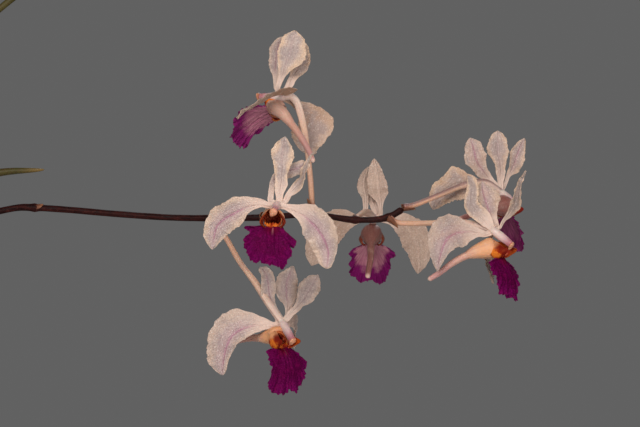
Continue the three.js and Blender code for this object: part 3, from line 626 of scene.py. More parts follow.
def list_at(values, t):
    """A smooth line through values that are spaced evenly from t = 0 to t = 1."""
    v = np.array(values, float)
    v = np.concatenate([[2 * v[0] - v[1]], v, [2 * v[-1] - v[-2]]])
    x = np.clip(t, 0, 1) * (len(values) - 1)
    i = np.minimum(x.astype(int), len(values) - 2)
    f = x - i
    a, b, c, d = v[i], v[i + 1], v[i + 2], v[i + 3]
    return b + 0.5 * f * (c - a + f * (2 * a - 5 * b + 4 * c - d + f * (3 * (b - c) + d - a)))


def frames(along, start):
    """Two sideways directions at each step of a curve, turned as little as possible from step to step."""
    side = [unit(np.asarray(start, float) - along[0] * np.dot(start, along[0]))]
    for direction in along[1:]:
        side.append(unit(side[-1] - direction * np.dot(side[-1], direction)))
    side = np.array(side)
    return side, np.cross(along, side)


def wander(rng, t, waves, roughness=0.6):
    """A smooth random line over t, about -1 to 1: sine waves of the given counts with random phases."""
    total = np.zeros_like(np.asarray(t, float))
    size = 1.0
    for count in waves:
        phase, pitch = rng.uniform(0, 2 * math.pi), rng.uniform(0.85, 1.15)
        total = total + size * np.sin(2 * math.pi * count * pitch * t + phase)
        size *= roughness
    return total / 1.6


def noise_at(points, size, seed=0.0):
    """Smooth noise at points in millimetres, about -1 to 1, with features about size across."""
    flat = np.asarray(points, float).reshape(-1, 3) / size + seed
    return np.array([noise.noise(Vector(p)) for p in flat]).reshape(np.shape(points)[:-1])


# Meshes

class Skin:
    """A mesh in the making. Each point has an address that its material reads, and each face a material."""

    def __init__(self):
        self.points, self.addresses, self.faces, self.finishes = [], [], [], []
        self.count = 0

    def add(self, points, addresses, faces, finish):
        self.points.append(np.asarray(points, float).reshape(-1, 3))
        self.addresses.append(np.asarray(addresses, float).reshape(-1, 3))
        self.faces += [tuple(int(i) + self.count for i in face) for face in faces]
        self.finishes += [int(i) for i in np.broadcast_to(finish, len(faces))]
        self.count += len(self.points[-1])

    def tube(self, rings, addresses, finish=0):
        """A closed skin over rings of points. finish is one material, or one for each band of faces."""
        rows, sides = rings.shape[:2]
        ends = np.stack([rings[0].mean(0), rings[-1].mean(0)])
        end_addresses = np.stack([addresses[0].mean(0), addresses[-1].mean(0)])
        corner = np.arange(rows * sides).reshape(rows, sides)
        turned = np.roll(corner, -1, axis=1)
        quads = np.stack([corner[:-1], turned[:-1], turned[1:], corner[1:]], -1).reshape(-1, 4)
        first, last = rows * sides, rows * sides + 1
        faces = list(quads)
        faces += [(first, b, a) for a, b in zip(corner[0], turned[0])]
        faces += [(last, a, b) for a, b in zip(corner[-1], turned[-1])]
        points = np.vstack([rings.reshape(-1, 3), ends])
        bands = np.broadcast_to(finish, rows - 1)
        finishes = np.repeat(np.append(bands, bands[[0, -1]]), sides)
        self.add(points, np.vstack([addresses.reshape(-1, 3), end_addresses]), faces, finishes)

    def sheet(self, middle, thickness, across, along, finish=0, up=None):
        """A closed thin sheet over middle, rows x columns x 3, whose address is across, along and its side.

        With up given, its front faces that way even where its outline folds over itself.
        """
        rows, columns = middle.shape[:2]
        normal = unit(np.cross(np.gradient(middle, axis=1), np.gradient(middle, axis=0)))
        if up is not None:
            normal = normal * np.where(normal @ up < 0, -1, 1)[..., None]
        lift = normal * (np.broadcast_to(thickness, (rows, columns)) / 2)[..., None]
        one = np.arange(rows * columns).reshape(rows, columns)
        other = one + rows * columns
        quads = np.stack([one[:-1, :-1], one[:-1, 1:], one[1:, 1:], one[1:, :-1]], -1)
        faces = list(quads.reshape(-1, 4)) + list((quads + rows * columns)[..., ::-1].reshape(-1, 4))
        for a, b in ((one[0], other[0]), (one[:, -1], other[:, -1])):
            faces += [(p, r, s, q) for p, q, r, s in zip(a, a[1:], b, b[1:])]
        for a, b in ((one[-1], other[-1]), (one[:, 0], other[:, 0])):
            faces += [(p, q, s, r) for p, q, r, s in zip(a, a[1:], b, b[1:])]
        across, along = np.broadcast_to(across, (rows, columns)), np.broadcast_to(along, (rows, columns))
        front = np.stack([across, along, np.ones((rows, columns))], -1)
        back = np.stack([across, along, np.zeros((rows, columns))], -1)
        self.add(np.stack([middle + lift, middle - lift]), np.stack([front, back]), faces, finish)

    def build(self, name, finishes, node, slot, look=(0.0, 0.0, 0.0), sharp=None):
        """Makes the object and puts it in place. look is the same all over it; sharp is in degrees."""
        mesh = bpy.data.meshes.new(name)
        mesh.from_pydata((np.vstack(self.points) * MM).tolist(), [], self.faces)
        for finish in finishes:
            mesh.materials.append(finish)
        mesh.polygons.foreach_set("material_index", self.finishes)
        mesh.polygons.foreach_set("use_smooth", [True] * len(self.faces))
        address = mesh.attributes.new("address", "FLOAT_VECTOR", "POINT")
        address.data.foreach_set("vector", np.vstack(self.addresses).ravel())
        looks = mesh.attributes.new("look", "FLOAT_VECTOR", "POINT")
        looks.data.foreach_set("vector", np.tile(look, self.count))
        work = bmesh.new()
        work.from_mesh(mesh)
        bmesh.ops.recalc_face_normals(work, faces=work.faces)
        work.to_mesh(mesh)
        work.free()
        if sharp is not None:
            mesh.set_sharp_from_angle(angle=math.radians(sharp))
        return place(bpy.data.objects.new(name, mesh), node, slot)


def place(piece, node, slot):
    """Puts a piece in the scene, on the one body, for the node that it stands for. slot is not used."""
    bpy.context.scene.collection.objects.link(piece)
    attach(piece, "root")
    if node:
        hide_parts(node)
    return piece


def rings_along(points, shares, start, shape, sides):
    """Rings of a tube and their addresses. shape(share, angle) gives the radius, for rows x sides."""
    centre, along, _ = curve(points, shares)
    side, other = frames(along, start)
    angle = np.linspace(0, 2 * math.pi, sides, endpoint=False)
    share_grid, angle_grid = np.meshgrid(shares, angle, indexing="ij")
    radius = shape(share_grid, angle_grid)
    sideways = (side[:, None], radius * np.cos(angle_grid))
    rings = out_along(centre[:, None], sideways, (other[:, None], radius * np.sin(angle_grid)))
    address = np.stack([angle_grid / (2 * math.pi), share_grid, np.ones_like(share_grid)], -1)
    return rings, address


def crowded(count, power):
    """Shares from 0 to 1 that crowd together towards 1, where a tip needs them."""
    t = np.linspace(0, 1, count)
    return 1 - (1 - t) ** power


# Materials

class Finish:
    """A Principled material and the few kinds of node that its colour and surface are made with."""

    def __init__(self, name, **sockets):
        self.material = bpy.data.materials.new(name)
        self.material.use_nodes = True
        self.nodes = self.material.node_tree.nodes
        self.links = self.material.node_tree.links
        self.shader = self.nodes["Principled BSDF"]
        for socket, value in sockets.items():
            self.shader.inputs[socket.replace("_", " ")].default_value = value
        self.object_place = self.put("TexCoord").outputs["Object"]

    def feed(self, socket, value):
        if isinstance(value, bpy.types.NodeSocket):
            self.links.new(value, socket)
        elif isinstance(value, tuple) and len(value) == 3 and socket.type == "RGBA":
            socket.default_value = (*value, 1.0)
        else:
            socket.default_value = value

    def put(self, kind, inputs=(), **settings):
        node = self.nodes.new("ShaderNode" + kind)
        for key, value in settings.items():
            setattr(node, key, value)
        for key, value in dict(inputs).items():
            self.feed(node.inputs[key], value)
        return node

    def math(self, operation, *values):
        node = self.put("Math", operation=operation)
        for socket, value in zip(node.inputs, values):
            self.feed(socket, value)
        return node.outputs[0]

    def attribute(self, name):
        node = self.put("Attribute", attribute_name=name)
        return self.put("SeparateXYZ", {0: node.outputs["Vector"]}).outputs

    def address(self):
        """The point's own address: across or round, along, and 1 on the front or 0 on the back."""
        return self.attribute("address")

    def look(self):
        """Three numbers from the flower that are the same all over a piece. Each kind has its own three."""
        return self.attribute("look")

    def vector(self, x, y, z):
        return self.put("CombineXYZ", {0: x, 1: y, 2: z}).outputs[0]

    def noise(self, size, detail=3.0, roughness=0.55, vector=None):
        """Noise from 0 to 1. Its features are about size across: millimetres, or the vector's units."""
        scale = 1.0 / size if vector else 1.0 / (size * MM)
        where = vector or self.object_place
        inputs = {"Vector": where, "Scale": scale, "Detail": detail, "Roughness": roughness}
        return self.put("TexNoise", inputs).outputs[0]

    def smooth(self, value, low, high, start=0.0, end=1.0):
        inputs = {0: value, 1: low, 2: high, 3: start, 4: end}
        return self.put("MapRange", inputs, interpolation_type="SMOOTHSTEP").outputs[0]

    def bell(self, value, middle, width):
        """1 where value is at the middle, falling to 0 over the width on both sides."""
        away = self.math("ABSOLUTE", self.math("SUBTRACT", value, middle))
        return self.smooth(away, 0.0, width, 1.0, 0.0)

    def mix(self, factor, a, b):
        return self.put("Mix", {0: factor, 6: a, 7: b}, data_type="RGBA").outputs[2]

    def tint(self, base, mask, low, high, colour, strength=1.0):
        """The base, with the colour laid over it, up to the strength, as the mask goes from low to high."""
        return self.mix(self.smooth(mask, low, high, 0.0, strength), base, colour)

    def plus(self, a, b):
        return self.math("ADD", a, b)

    def times(self, a, b):
        return self.math("MULTIPLY", a, b)

    def swing(self, value, size):
        """A value from 0 to 1, moved to lie evenly about 0 and multiplied by the size."""
        return self.times(self.math("SUBTRACT", value, 0.5), size)

    def streaks(self, x, x_scale, y, y_scale, detail, roughness):
        """Noise over two of a piece's addresses, drawn out along the one with the smaller scale."""
        where = self.vector(self.times(x, x_scale), self.times(y, y_scale), 0.0)
        return self.noise(1.0, detail, roughness, where)

    def colour(self, value):
        self.feed(self.shader.inputs["Base Color"], value)

    def roughness(self, mask, low, high):
        """Roughness that rises from low to high as the mask goes from 0.3 to 0.7."""
        self.feed(self.shader.inputs["Roughness"], self.smooth(mask, 0.3, 0.7, low, high))

    def bump(self, height, depth):
        """height runs from 0 to 1 and stands for depth in millimetres."""
        node = self.put("Bump", {"Height": height, "Distance": depth * MM, "Strength": 1.0})
        self.feed(self.shader.inputs["Normal"], node.outputs[0])


def tepal_finish():
    """Crystalline petal: cool grey in the middle, cream at the margins, with a mauve midrib in front."""
    f = Finish(
        "tepal", IOR=1.42, Subsurface_Weight=0.10, Subsurface_Scale=0.001,
        Subsurface_Radius=(1.0, 0.6, 0.5), Specular_IOR_Level=0.35,
    )
    across, along, front = f.address()
    flush, shade, cream = f.look()
    width = f.math("ABSOLUTE", across)
    cloud = f.noise(5.0, 3.0)
    speck = f.noise(0.55, 1.0, 0.6)
    fleck = f.noise(1.7, 3.0, 0.7)
    inner = f.tint((0.375, 0.295, 0.275), cloud, 0.35, 0.65, (0.49, 0.38, 0.34))
    ragged = f.plus(width, f.swing(cloud, 1.3))
    margin = f.times(f.smooth(ragged, 0.35, 1.0), f.smooth(cream, 0.0, 1.0, 0.25, 1.0))
    body = f.mix(margin, inner, (0.66, 0.465, 0.33))
    halo = f.times(f.bell(across, 0.0, 0.7), f.smooth(along, 0.1, 0.4))
    body = f.mix(f.times(halo, f.times(flush, 0.5)), body, (0.49, 0.31, 0.345))
    body = f.tint(body, fleck, 0.5, 0.68, (0.62, 0.46, 0.39), 0.3)
    run = f.times(f.smooth(along, 0.02, 0.25), f.smooth(along, 1.0, 0.82))
    wobble = f.plus(across, f.swing(cloud, 0.2))
    stripe = f.times(f.bell(wobble, 0.0, 0.15), run)
    body = f.mix(f.times(stripe, f.smooth(flush, 0.0, 1.0, 0.08, 0.85)), body, (0.37, 0.15, 0.23))
    lane = f.math("SINE", f.times(f.plus(across, f.times(cloud, 0.35)), 24.0))
    vein = f.times(f.smooth(lane, 0.6, 1.0), f.times(f.smooth(width, 0.9, 0.4), run))
    body = f.mix(f.times(vein, f.smooth(flush, 0.0, 1.0, 0.08, 0.30)), body, (0.38, 0.23, 0.26))
    back = f.tint((0.47, 0.335, 0.27), cloud, 0.3, 0.7, (0.58, 0.43, 0.35))
    back = f.tint(back, width, 0.22, 0.0, (0.64, 0.46, 0.38), 0.5)
    skin = f.mix(front, back, body)
    # Painted shade: shade turns a blade tan in patches, more towards its base, where it lies in shadow.
    tan = f.smooth(f.plus(cloud, f.times(f.math("SUBTRACT", 0.4, along), 0.5)), 0.25, 0.65, 0.25, 0.9)
    skin = f.mix(f.times(shade, tan), skin, (0.36, 0.20, 0.12))
    # Dark and pale specks: the crystalline cells' sparkle painted as grain, the pale specks painted glints.
    skin = f.tint(skin, speck, 0.52, 0.68, (0.27, 0.195, 0.18), 0.33)
    skin = f.tint(skin, speck, 0.42, 0.28, (0.80, 0.70, 0.65), 0.42)
    # The cream claw fades where a blade's painted shade is strong.
    claw = f.times(f.smooth(along, 0.42, 0.12), f.smooth(shade, 0.3, 0.9, 0.8, 0.0))
    f.colour(f.mix(claw, skin, (0.72, 0.54, 0.46)))
    f.roughness(cloud, 0.45, 0.55)
    f.bump(f.plus(f.times(speck, 0.75), f.times(vein, 0.25)), 0.3)
    return f.material


def mid_lobe_finish():
    """Deep magenta above; below, pale pink with magenta rays and a magenta fringe, or mostly magenta."""
    f = Finish("lip_mid_lobe", IOR=1.42, Specular_IOR_Level=0.04)
    across, along, front = f.address()
    pale, _, _ = f.look()
    ray = f.noise(1.0, 3.0, 0.6, f.vector(f.times(across, 16.0), f.times(along, 1.4), front))
    patch = f.noise(2.2, 3.0)
    grain = f.noise(0.6, 2.0, 0.7)
    top = f.tint((0.078, 0.0005, 0.034), ray, 0.35, 0.65, (0.102, 0.0008, 0.046))
    # Lighter magenta towards the rim: partly the lip's own colour, partly a painted sheen.
    top = f.tint(top, along, 0.6, 1.0, (0.150, 0.002, 0.085), 0.6)
    top = f.tint(top, patch, 0.48, 0.66, (0.165, 0.002, 0.062), 0.5)
    top = f.tint(top, grain, 0.52, 0.64, (0.042, 0.0003, 0.017), 0.6)
    top = f.tint(top, grain, 0.44, 0.34, (0.200, 0.004, 0.110), 0.45)
    neck = f.times(f.smooth(along, 0.30, 0.04), f.bell(across, 0.0, 0.95))
    top = f.mix(f.times(neck, 0.75), top, (0.11, 0.002, 0.008))
    stretch = f.times(f.smooth(along, 0.0, 0.06), f.smooth(along, 0.26, 0.10))
    keel = f.times(f.bell(across, 0.02, 0.05), stretch)
    top = f.mix(f.times(keel, 0.6), top, (0.36, 0.12, 0.15))
    line = f.times(f.smooth(ray, 0.42, 0.6), f.smooth(along, 0.0, 0.6, 0.25, 0.9))
    pink = f.mix(f.times(line, 0.6), (0.44, 0.19, 0.235), (0.27, 0.045, 0.13))
    fringe = f.plus(along, f.swing(patch, 0.35))
    pink = f.tint(pink, fringe, 0.52, 0.78, (0.17, 0.008, 0.100))
    below = f.mix(pale, f.mix(f.times(line, 0.4), (0.17, 0.018, 0.095), (0.26, 0.07, 0.15)), pink)
    f.colour(f.mix(front, below, top))
    f.roughness(patch, 0.5, 0.68)
    f.bump(f.plus(f.times(ray, 0.15), f.times(grain, 0.85)), 0.3)
    return f.material


def sac_colour(f, brown, orange):
    """Colour of the sac at the head of a spur: pinkish or orange, and brown where painted shade lies on it.
    """
    return f.mix(brown, f.mix(orange, (0.60, 0.36, 0.28), (0.74, 0.35, 0.165)), (0.27, 0.095, 0.062))


def throat_finish():
    """Side lobes like the sac above and orange to dark red below; inside, dark red with paler flecks, and
    painted shade deep in the throat.
    """
    f = Finish("lip_throat", IOR=1.45, Specular_IOR_Level=0.12)
    run, depth, inside = f.address()
    _, brown, orange = f.look()
    spot = f.noise(0.7, 2.0, 0.65)
    shade = f.noise(2.5, 2.0)
    sac = sac_colour(f, brown, orange)
    low = f.tint((0.38, 0.028, 0.003), shade, 0.40, 0.60, (0.68, 0.175, 0.020))
    # Painted shade: the lower side lobes turn brown with a shaded sac.
    low = f.mix(f.times(brown, 0.8), low, (0.20, 0.055, 0.035))
    outer = f.mix(f.smooth(f.plus(run, f.times(shade, 0.3)), 0.45, 0.70), sac, low)
    edge = f.smooth(f.plus(depth, f.times(shade, 0.3)), 0.46, 0.24)
    outer = f.mix(f.times(edge, f.smooth(run, 0.2, 0.45, 0.3, 1.0)), outer, (0.17, 0.010, 0.004))
    flesh = f.tint((0.20, 0.016, 0.003), shade, 0.38, 0.60, (0.40, 0.075, 0.010))
    flesh = f.tint(flesh, depth, 0.06, 0.30, (0.28, 0.014, 0.007))
    fleck = f.tint((0.20, 0.008, 0.004), spot, 0.46, 0.60, (0.70, 0.20, 0.10))
    flesh = f.tint(flesh, depth, 0.15, 0.4, fleck, 0.8)
    # Painted shade: darkest deep in the throat, where little light reaches.
    flesh = f.tint(flesh, depth, 0.8, 1.0, (0.06, 0.003, 0.002))
    f.colour(f.mix(inside, outer, flesh))
    f.roughness(spot, 0.4, 0.6)
    f.bump(spot, 0.12)
    return f.material


def spur_finish():
    """Spur: orange at the mouth, then orange or pink on its sac, then pink to a pale tip, browned by
    painted shade on some flowers.
    """
    f = Finish("lip_spur", IOR=1.42, Subsurface_Weight=0.12, Subsurface_Scale=0.0012)
    turn, along, _ = f.address()
    _, brown, orange = f.look()
    cloud = f.noise(4.0, 2.0)
    speck = f.noise(0.7, 1.0, 0.6)
    sac = sac_colour(f, brown, orange)
    below = f.smooth(f.math("SINE", f.times(turn, 2 * math.pi)), -0.2, 0.7)
    rim = f.smooth(f.plus(along, f.times(f.plus(cloud, below), 0.06)), 0.04, 0.13)
    skin = f.mix(rim, (0.50, 0.12, 0.015), sac)
    skin = f.tint(skin, along, 0.22, 0.50, (0.58, 0.31, 0.235))
    skin = f.tint(skin, along, 0.45, 0.85, (0.50, 0.255, 0.235))
    # Painted shade: brown over the spur of a shaded sac, fading before the tip.
    skin = f.mix(f.times(brown, f.smooth(along, 1.0, 0.9, 0.3, 0.9)), skin, (0.24, 0.085, 0.072))
    skin = f.tint(skin, along, 0.94, 1.0, (0.74, 0.50, 0.42))
    lane = f.streaks(turn, 22.0, along, 3.0, 2.0, 0.5)
    skin = f.tint(skin, lane, 0.5, 0.62, (0.40, 0.18, 0.15), 0.25)
    skin = f.tint(skin, cloud, 0.5, 0.75, (0.68, 0.46, 0.36), 0.25)
    skin = f.tint(skin, speck, 0.44, 0.30, (0.68, 0.50, 0.42), 0.12)
    f.colour(skin)
    f.roughness(cloud, 0.4, 0.55)
    f.bump(f.plus(f.times(lane, 0.5), f.times(speck, 0.5)), 0.18)
    return f.material


def pedicel_finish():
    """Pedicel: brown-red at its foot, peach along it, cream-pink on the ovary, mauve where it is shaded."""
    f = Finish("pedicel", IOR=1.42, Subsurface_Weight=0.10, Subsurface_Scale=0.001)
    turn, along, _ = f.address()
    _, shade, _ = f.look()
    cloud = f.noise(5.0, 2.0)
    fleck = f.noise(0.7, 2.0, 0.65)
    skin = f.tint((0.26, 0.085, 0.05), along, 0.0, 0.12, (0.64, 0.35, 0.22))
    skin = f.tint(skin, along, 0.12, 0.55, (0.72, 0.46, 0.33))
    skin = f.tint(skin, along, 0.55, 0.85, (0.72, 0.54, 0.46))
    upper = f.smooth(f.math("COSINE", f.times(turn, 2 * math.pi)), -0.5, 0.4)
    skin = f.mix(f.times(shade, f.times(upper, 0.85)), skin, (0.21, 0.12, 0.125))
    skin = f.tint(skin, cloud, 0.5, 0.75, (0.52, 0.29, 0.25), 0.4)
    skin = f.tint(skin, fleck, 0.56, 0.68, (0.38, 0.20, 0.16), 0.35)
    skin = f.tint(skin, fleck, 0.42, 0.30, (0.80, 0.66, 0.58), 0.35)
    # Darker lines between the ribs: painted shade in the ovary's grooves.
    rib = f.math("COSINE", f.times(turn, 12.0 * math.pi))
    f.colour(f.mix(f.times(f.smooth(rib, -0.4, -1.0), 0.3), skin, (0.40, 0.22, 0.19)))
    f.roughness(fleck, 0.4, 0.6)
    f.bump(fleck, 0.12)
    return f.material


def column_finish():
    """Column: pinkish white, rosier towards the cap."""
    f = Finish("column", IOR=1.42, Subsurface_Weight=0.12, Subsurface_Scale=0.001)
    _, along, _ = f.address()
    cloud = f.noise(1.6, 3.0)
    skin = f.tint((0.70, 0.54, 0.48), along, 0.2, 0.8, (0.58, 0.38, 0.38))
    skin = f.tint(skin, along, 0.6, 0.95, (0.42, 0.15, 0.17))
    f.colour(f.tint(skin, cloud, 0.4, 0.7, (0.50, 0.28, 0.33), 0.35))
    f.roughness(cloud, 0.4, 0.55)
    f.bump(cloud, 0.15)
    return f.material


def cap_finish():
    """Anther cap: waxy peach, with painted shade round its foot, where it sits against the column."""
    f = Finish("anther_cap", IOR=1.45, Subsurface_Weight=0.15, Subsurface_Scale=0.001)
    _, along, _ = f.address()
    cloud = f.noise(0.9, 2.0)
    # Painted shade: darker towards the foot of the cap.
    skin = f.tint((0.42, 0.14, 0.08), along, 0.1, 0.7, (0.62, 0.28, 0.16))
    f.colour(f.tint(skin, cloud, 0.5, 0.7, (0.72, 0.40, 0.26), 0.4))
    f.roughness(cloud, 0.32, 0.45)
    f.bump(cloud, 0.1)
    return f.material


def stalk_finish():
    """Flower stalk: dark maroon, with redder streaks and flecks along it, and greener low down."""
    f = Finish("flower_stalk", IOR=1.45, Specular_IOR_Level=0.12)
    turn, along, _ = f.address()
    streak = f.streaks(turn, 9.0, along, 60.0, 3.0, 0.6)
    fleck = f.noise(0.8, 2.0, 0.65)
    skin = f.tint((0.010, 0.002, 0.002), streak, 0.35, 0.7, (0.038, 0.007, 0.006))
    skin = f.tint(skin, fleck, 0.56, 0.68, (0.09, 0.024, 0.016), 0.35)
    f.colour(f.tint(skin, along, 0.35, 0.0, (0.060, 0.050, 0.020)))
    f.roughness(streak, 0.5, 0.7)
    f.bump(streak, 0.15)
    return f.material


def bract_finish():
    """Dry bracts: orange-brown, darker at the base, with fine nerves."""
    f = Finish("bract", IOR=1.45)
    across, along, _ = f.address()
    nerve = f.streaks(across, 9.0, along, 1.5, 2.0, 0.6)
    skin = f.tint((0.075, 0.020, 0.010), nerve, 0.35, 0.65, (0.17, 0.055, 0.022))
    f.colour(f.tint(skin, along, 0.45, 1.0, (0.27, 0.105, 0.045)))
    f.roughness(nerve, 0.5, 0.7)
    f.bump(nerve, 0.15)
    return f.material


def leaf_finish():
    """Quill leaf: olive green with purple-brown flecks and a paler groove along its upper side."""
    f = Finish("leaf", IOR=1.45, Specular_IOR_Level=0.2)
    turn, along, _ = f.address()
    cloud = f.noise(14.0, 3.0)
    fleck = f.noise(0.9, 2.0, 0.7)
    skin = f.tint((0.034, 0.032, 0.007), cloud, 0.3, 0.7, (0.068, 0.054, 0.013))
    skin = f.tint(skin, fleck, 0.54, 0.66, (0.055, 0.022, 0.012), 0.65)
    upper = f.math("COSINE", f.times(turn, 2 * math.pi))
    skin = f.tint(skin, upper, 0.86, 0.99, (0.12, 0.105, 0.033), 0.45)
    skin = f.tint(skin, along, 0.94, 1.0, (0.16, 0.10, 0.03))
    skin = f.tint(skin, along, 0.09, 0.0, (0.22, 0.19, 0.09))
    f.colour(skin)
    f.roughness(cloud, 0.36, 0.5)
    grain = f.streaks(turn, 40.0, along, 90.0, 2.0, 0.5)
    f.bump(f.plus(f.times(grain, 0.7), f.times(fleck, 0.3)), 0.1)
    return f.material


def stem_finish():
    """Stem: old leaf sheaths, papery tan and brown with close nerves."""
    f = Finish("stem_sheath", IOR=1.45)
    turn, along, _ = f.address()
    nerve = f.streaks(turn, 34.0, along, 14.0, 3.0, 0.6)
    cloud = f.noise(7.0, 3.0)
    skin = f.tint((0.15, 0.085, 0.035), nerve, 0.35, 0.65, (0.36, 0.25, 0.12))
    f.colour(f.tint(skin, cloud, 0.45, 0.7, (0.16, 0.15, 0.05), 0.6))
    f.roughness(nerve, 0.55, 0.8)
    f.bump(nerve, 0.35)
    return f.material


def root_finish():
    """Root: silvery felt, wrinkled, with green showing through and a green growing tip."""
    f = Finish("root", IOR=1.4)
    turn, along, _ = f.address()
    cloud = f.noise(9.0, 3.0)
    felt = f.noise(0.8, 3.0, 0.7)
    skin = f.tint((0.34, 0.34, 0.27), felt, 0.35, 0.65, (0.60, 0.60, 0.52))
    skin = f.tint(skin, cloud, 0.5, 0.7, (0.20, 0.25, 0.11), 0.7)
    skin = f.tint(skin, f.noise(3.0), 0.62, 0.72, (0.20, 0.13, 0.07), 0.6)
    f.colour(f.tint(skin, along, 0.93, 0.985, (0.16, 0.24, 0.05)))
    f.roughness(felt, 0.75, 0.95)
    wrinkle = f.streaks(turn, 14.0, along, 30.0, 3.0, 0.6)
    f.bump(f.plus(f.times(wrinkle, 0.7), f.times(felt, 0.3)), 0.4)
    return f.material


def bark_finish():
    """Bark chips: layered reddish brown to grey-brown, each chip with its own shade."""
    f = Finish("bark_chip", IOR=1.4)
    shade, _, _ = f.address()
    cloud = f.noise(5.0, 4.0, 0.6)
    grain = f.noise(1.0, 4.0, 0.65)
    skin = f.mix(shade, (0.090, 0.040, 0.020), (0.25, 0.125, 0.060))
    skin = f.tint(skin, cloud, 0.45, 0.7, (0.19, 0.145, 0.10), 0.7)
    skin = f.tint(skin, grain, 0.5, 0.7, (0.045, 0.022, 0.012), 0.7)
    f.colour(skin)
    f.roughness(grain, 0.8, 0.97)
    f.bump(f.plus(f.times(grain, 0.6), f.times(cloud, 0.4)), 0.9)
    return f.material


def pot_finish():
    """Terracotta: uneven firing, a chalky bloom at the rim and foot, faint throwing lines."""
    f = Finish("terracotta", IOR=1.45)
    _, height, _ = f.address()
    cloud = f.noise(28.0, 4.0, 0.6)
    grain = f.noise(0.9, 3.0, 0.7)
    spot = f.noise(7.0, 4.0, 0.65)
    clay = f.tint((0.40, 0.135, 0.062), cloud, 0.3, 0.7, (0.52, 0.205, 0.105))
    clay = f.tint(clay, grain, 0.5, 0.7, (0.30, 0.095, 0.045), 0.35)
    low = f.smooth(f.plus(height, f.times(spot, 0.16)), 0.30, 0.08)
    high = f.smooth(f.plus(height, f.times(spot, 0.12)), 0.86, 1.06)
    bloom = f.times(f.plus(low, high), f.smooth(spot, 0.42, 0.62))
    f.colour(f.mix(f.times(bloom, 0.55), clay, (0.66, 0.50, 0.40)))
    f.roughness(cloud, 0.78, 0.92)
    lines = f.noise(1.0, 2.0, 0.5, f.vector(0.0, 0.0, f.times(height, 60.0)))
    f.bump(f.plus(f.times(lines, 0.35), f.times(grain, 0.65)), 0.25)
    return f.material


def floor_finish():
    """Pale floor that fades out well away from the object."""
    f = Finish("studio_floor", Roughness=0.9)
    f.colour(f.mix(f.noise(60.0, 2.0), (0.60, 0.60, 0.595), (0.63, 0.63, 0.625)))
    x, y, _ = f.put("SeparateXYZ", {0: f.object_place}).outputs
    away = f.math("SQRT", f.plus(f.times(x, x), f.times(y, y)))
    f.feed(f.shader.inputs["Alpha"], f.smooth(away, FLOOR_SOLID, FLOOR_END, 1.0, 0.0))
    return f.material


# Pieces

def half_widths(part, size, t, rng):
    """Half widths of a blade to the left and right of its midrib at each share t of its length."""
    tip = round_end(t, TIP_START, 1 - TIP_START, 0.0004)
    halves = []
    for side in ("left", "right"):
        coarse = 0.05 * wander(rng, t, (4, 9), 0.8)
        fine = 0.035 * wander(rng, t, (15, 27), 0.8) * smoothstep(t, 0.15, 0.4)
        halves.append(np.maximum(list_at(part[side], t) * size * tip * (1 + coarse + fine), 0.05))
    return halves


def tepal(flower, part_name, number):
    """A petal or sepal: a closed thin sheet along its midrib, cupped, waved at the margins and ribbed."""
    name = flower["name"] + "_" + part_name
    part, size = flower[part_name], flower["size"]
    centre = np.array(flower["centre"], float)
    rng = np.random.default_rng(TEPAL_SEED + number)
    midrib = [centre + size * np.array(p) for p in part["midrib"]]
    heart = centre + size * 0.25 * np.array(part["midrib"][0])
    share = crowded(TEPAL_ROWS, 1.5)
    _, _, whole = curve([heart] + midrib, [0])
    _, _, blade_length = curve(midrib, [0])
    base = 1 - blade_length / whole
    place_at, along, _ = curve([heart] + midrib, share)
    t = (share - base) / (1 - base)
    right_way = unit(np.cross(along, np.array(part.get("face", flower["out"]), float)))
    up = np.cross(right_way, along)
    turn = np.radians(list_at(part.get("twist", [0, 0]), t))[:, None]
    turned = right_way * np.cos(turn) + up * np.sin(turn)
    right_way, up = turned, up * np.cos(turn) - right_way * np.sin(turn)
    left, right = half_widths(part, size, t, rng)
    u = np.sin(np.linspace(-1, 1, TEPAL_COLUMNS) * math.pi / 2)
    u_row, t_column = u[None], t[:, None]
    half = np.where(u_row < 0, left[:, None], right[:, None])
    breadth = (left + right)[:, None] / 2
    edge = np.abs(u_row) ** 3
    swing = [wander(rng, t, (2.5, 5, 9), 0.75)[:, None] for _ in range(2)]
    lift = part.get("cup", TEPAL_CUP) * breadth * u_row**2
    lift = lift + MARGIN_WAVE * smoothstep(t_column, 0.1, 0.5) * edge * np.where(u_row < 0, *swing)
    lift = lift - 0.4 * hump(u_row, 0.12) * smoothstep(t_column, 0.0, 0.2)
    lift = lift + 0.04 * np.cos(u_row * 22) * smoothstep(t_column, 0.1, 0.3)
    lift = lift + 0.25 * wander(rng, t, (2, 4))[:, None] * (1 - edge)
    middle = out_along(place_at[:, None], (right_way[:, None], half * u_row), (up[:, None], lift))
    middle = out_along(middle, (up[:, None], 0.22 * noise_at(middle, 3.0, number)))
    middle = out_along(middle, (up[:, None], 0.07 * noise_at(middle, 0.9, number)))
    thickness = MARGIN_THICKNESS + (MIDRIB_THICKNESS - MARGIN_THICKNESS) * hump(u_row, 0.4)
    thickness = thickness * (1 + 0.8 * smoothstep(t_column, 0.2, 0.0))
    skin = Skin()
    skin.sheet(middle, thickness, u_row, np.clip(t_column, 0, 1))
    look = (part.get("flush", 0.0), part.get("shade", 0.0), part.get("cream", 0.25))
    skin.build(name, [TEPAL], name, "tepal", look=look)


def lip_frame(flower):
    """The lip's hinge, and its directions across, down and outward."""
    centre = np.array(flower["centre"], float)
    hinge = centre + flower["size"] * np.array(flower["hinge"])
    tip = centre + flower["size"] * np.array(flower["lip_tip"])
    across, down = unit(flower["lip_across"]), unit(tip - hinge)
    outward = unit(np.cross(down, across))
    if outward.dot(flower["out"]) < 0:
        outward = -outward
    return hinge, across, down, outward


def on_lip(frame_of_lip, a, d, out):
    """Places a across, d down and out from the hinge."""
    hinge, across, down, outward = frame_of_lip
    a, d, out = np.broadcast_arrays(a, d, out)
    return out_along(hinge, (across, a), (down, d), (outward, out))


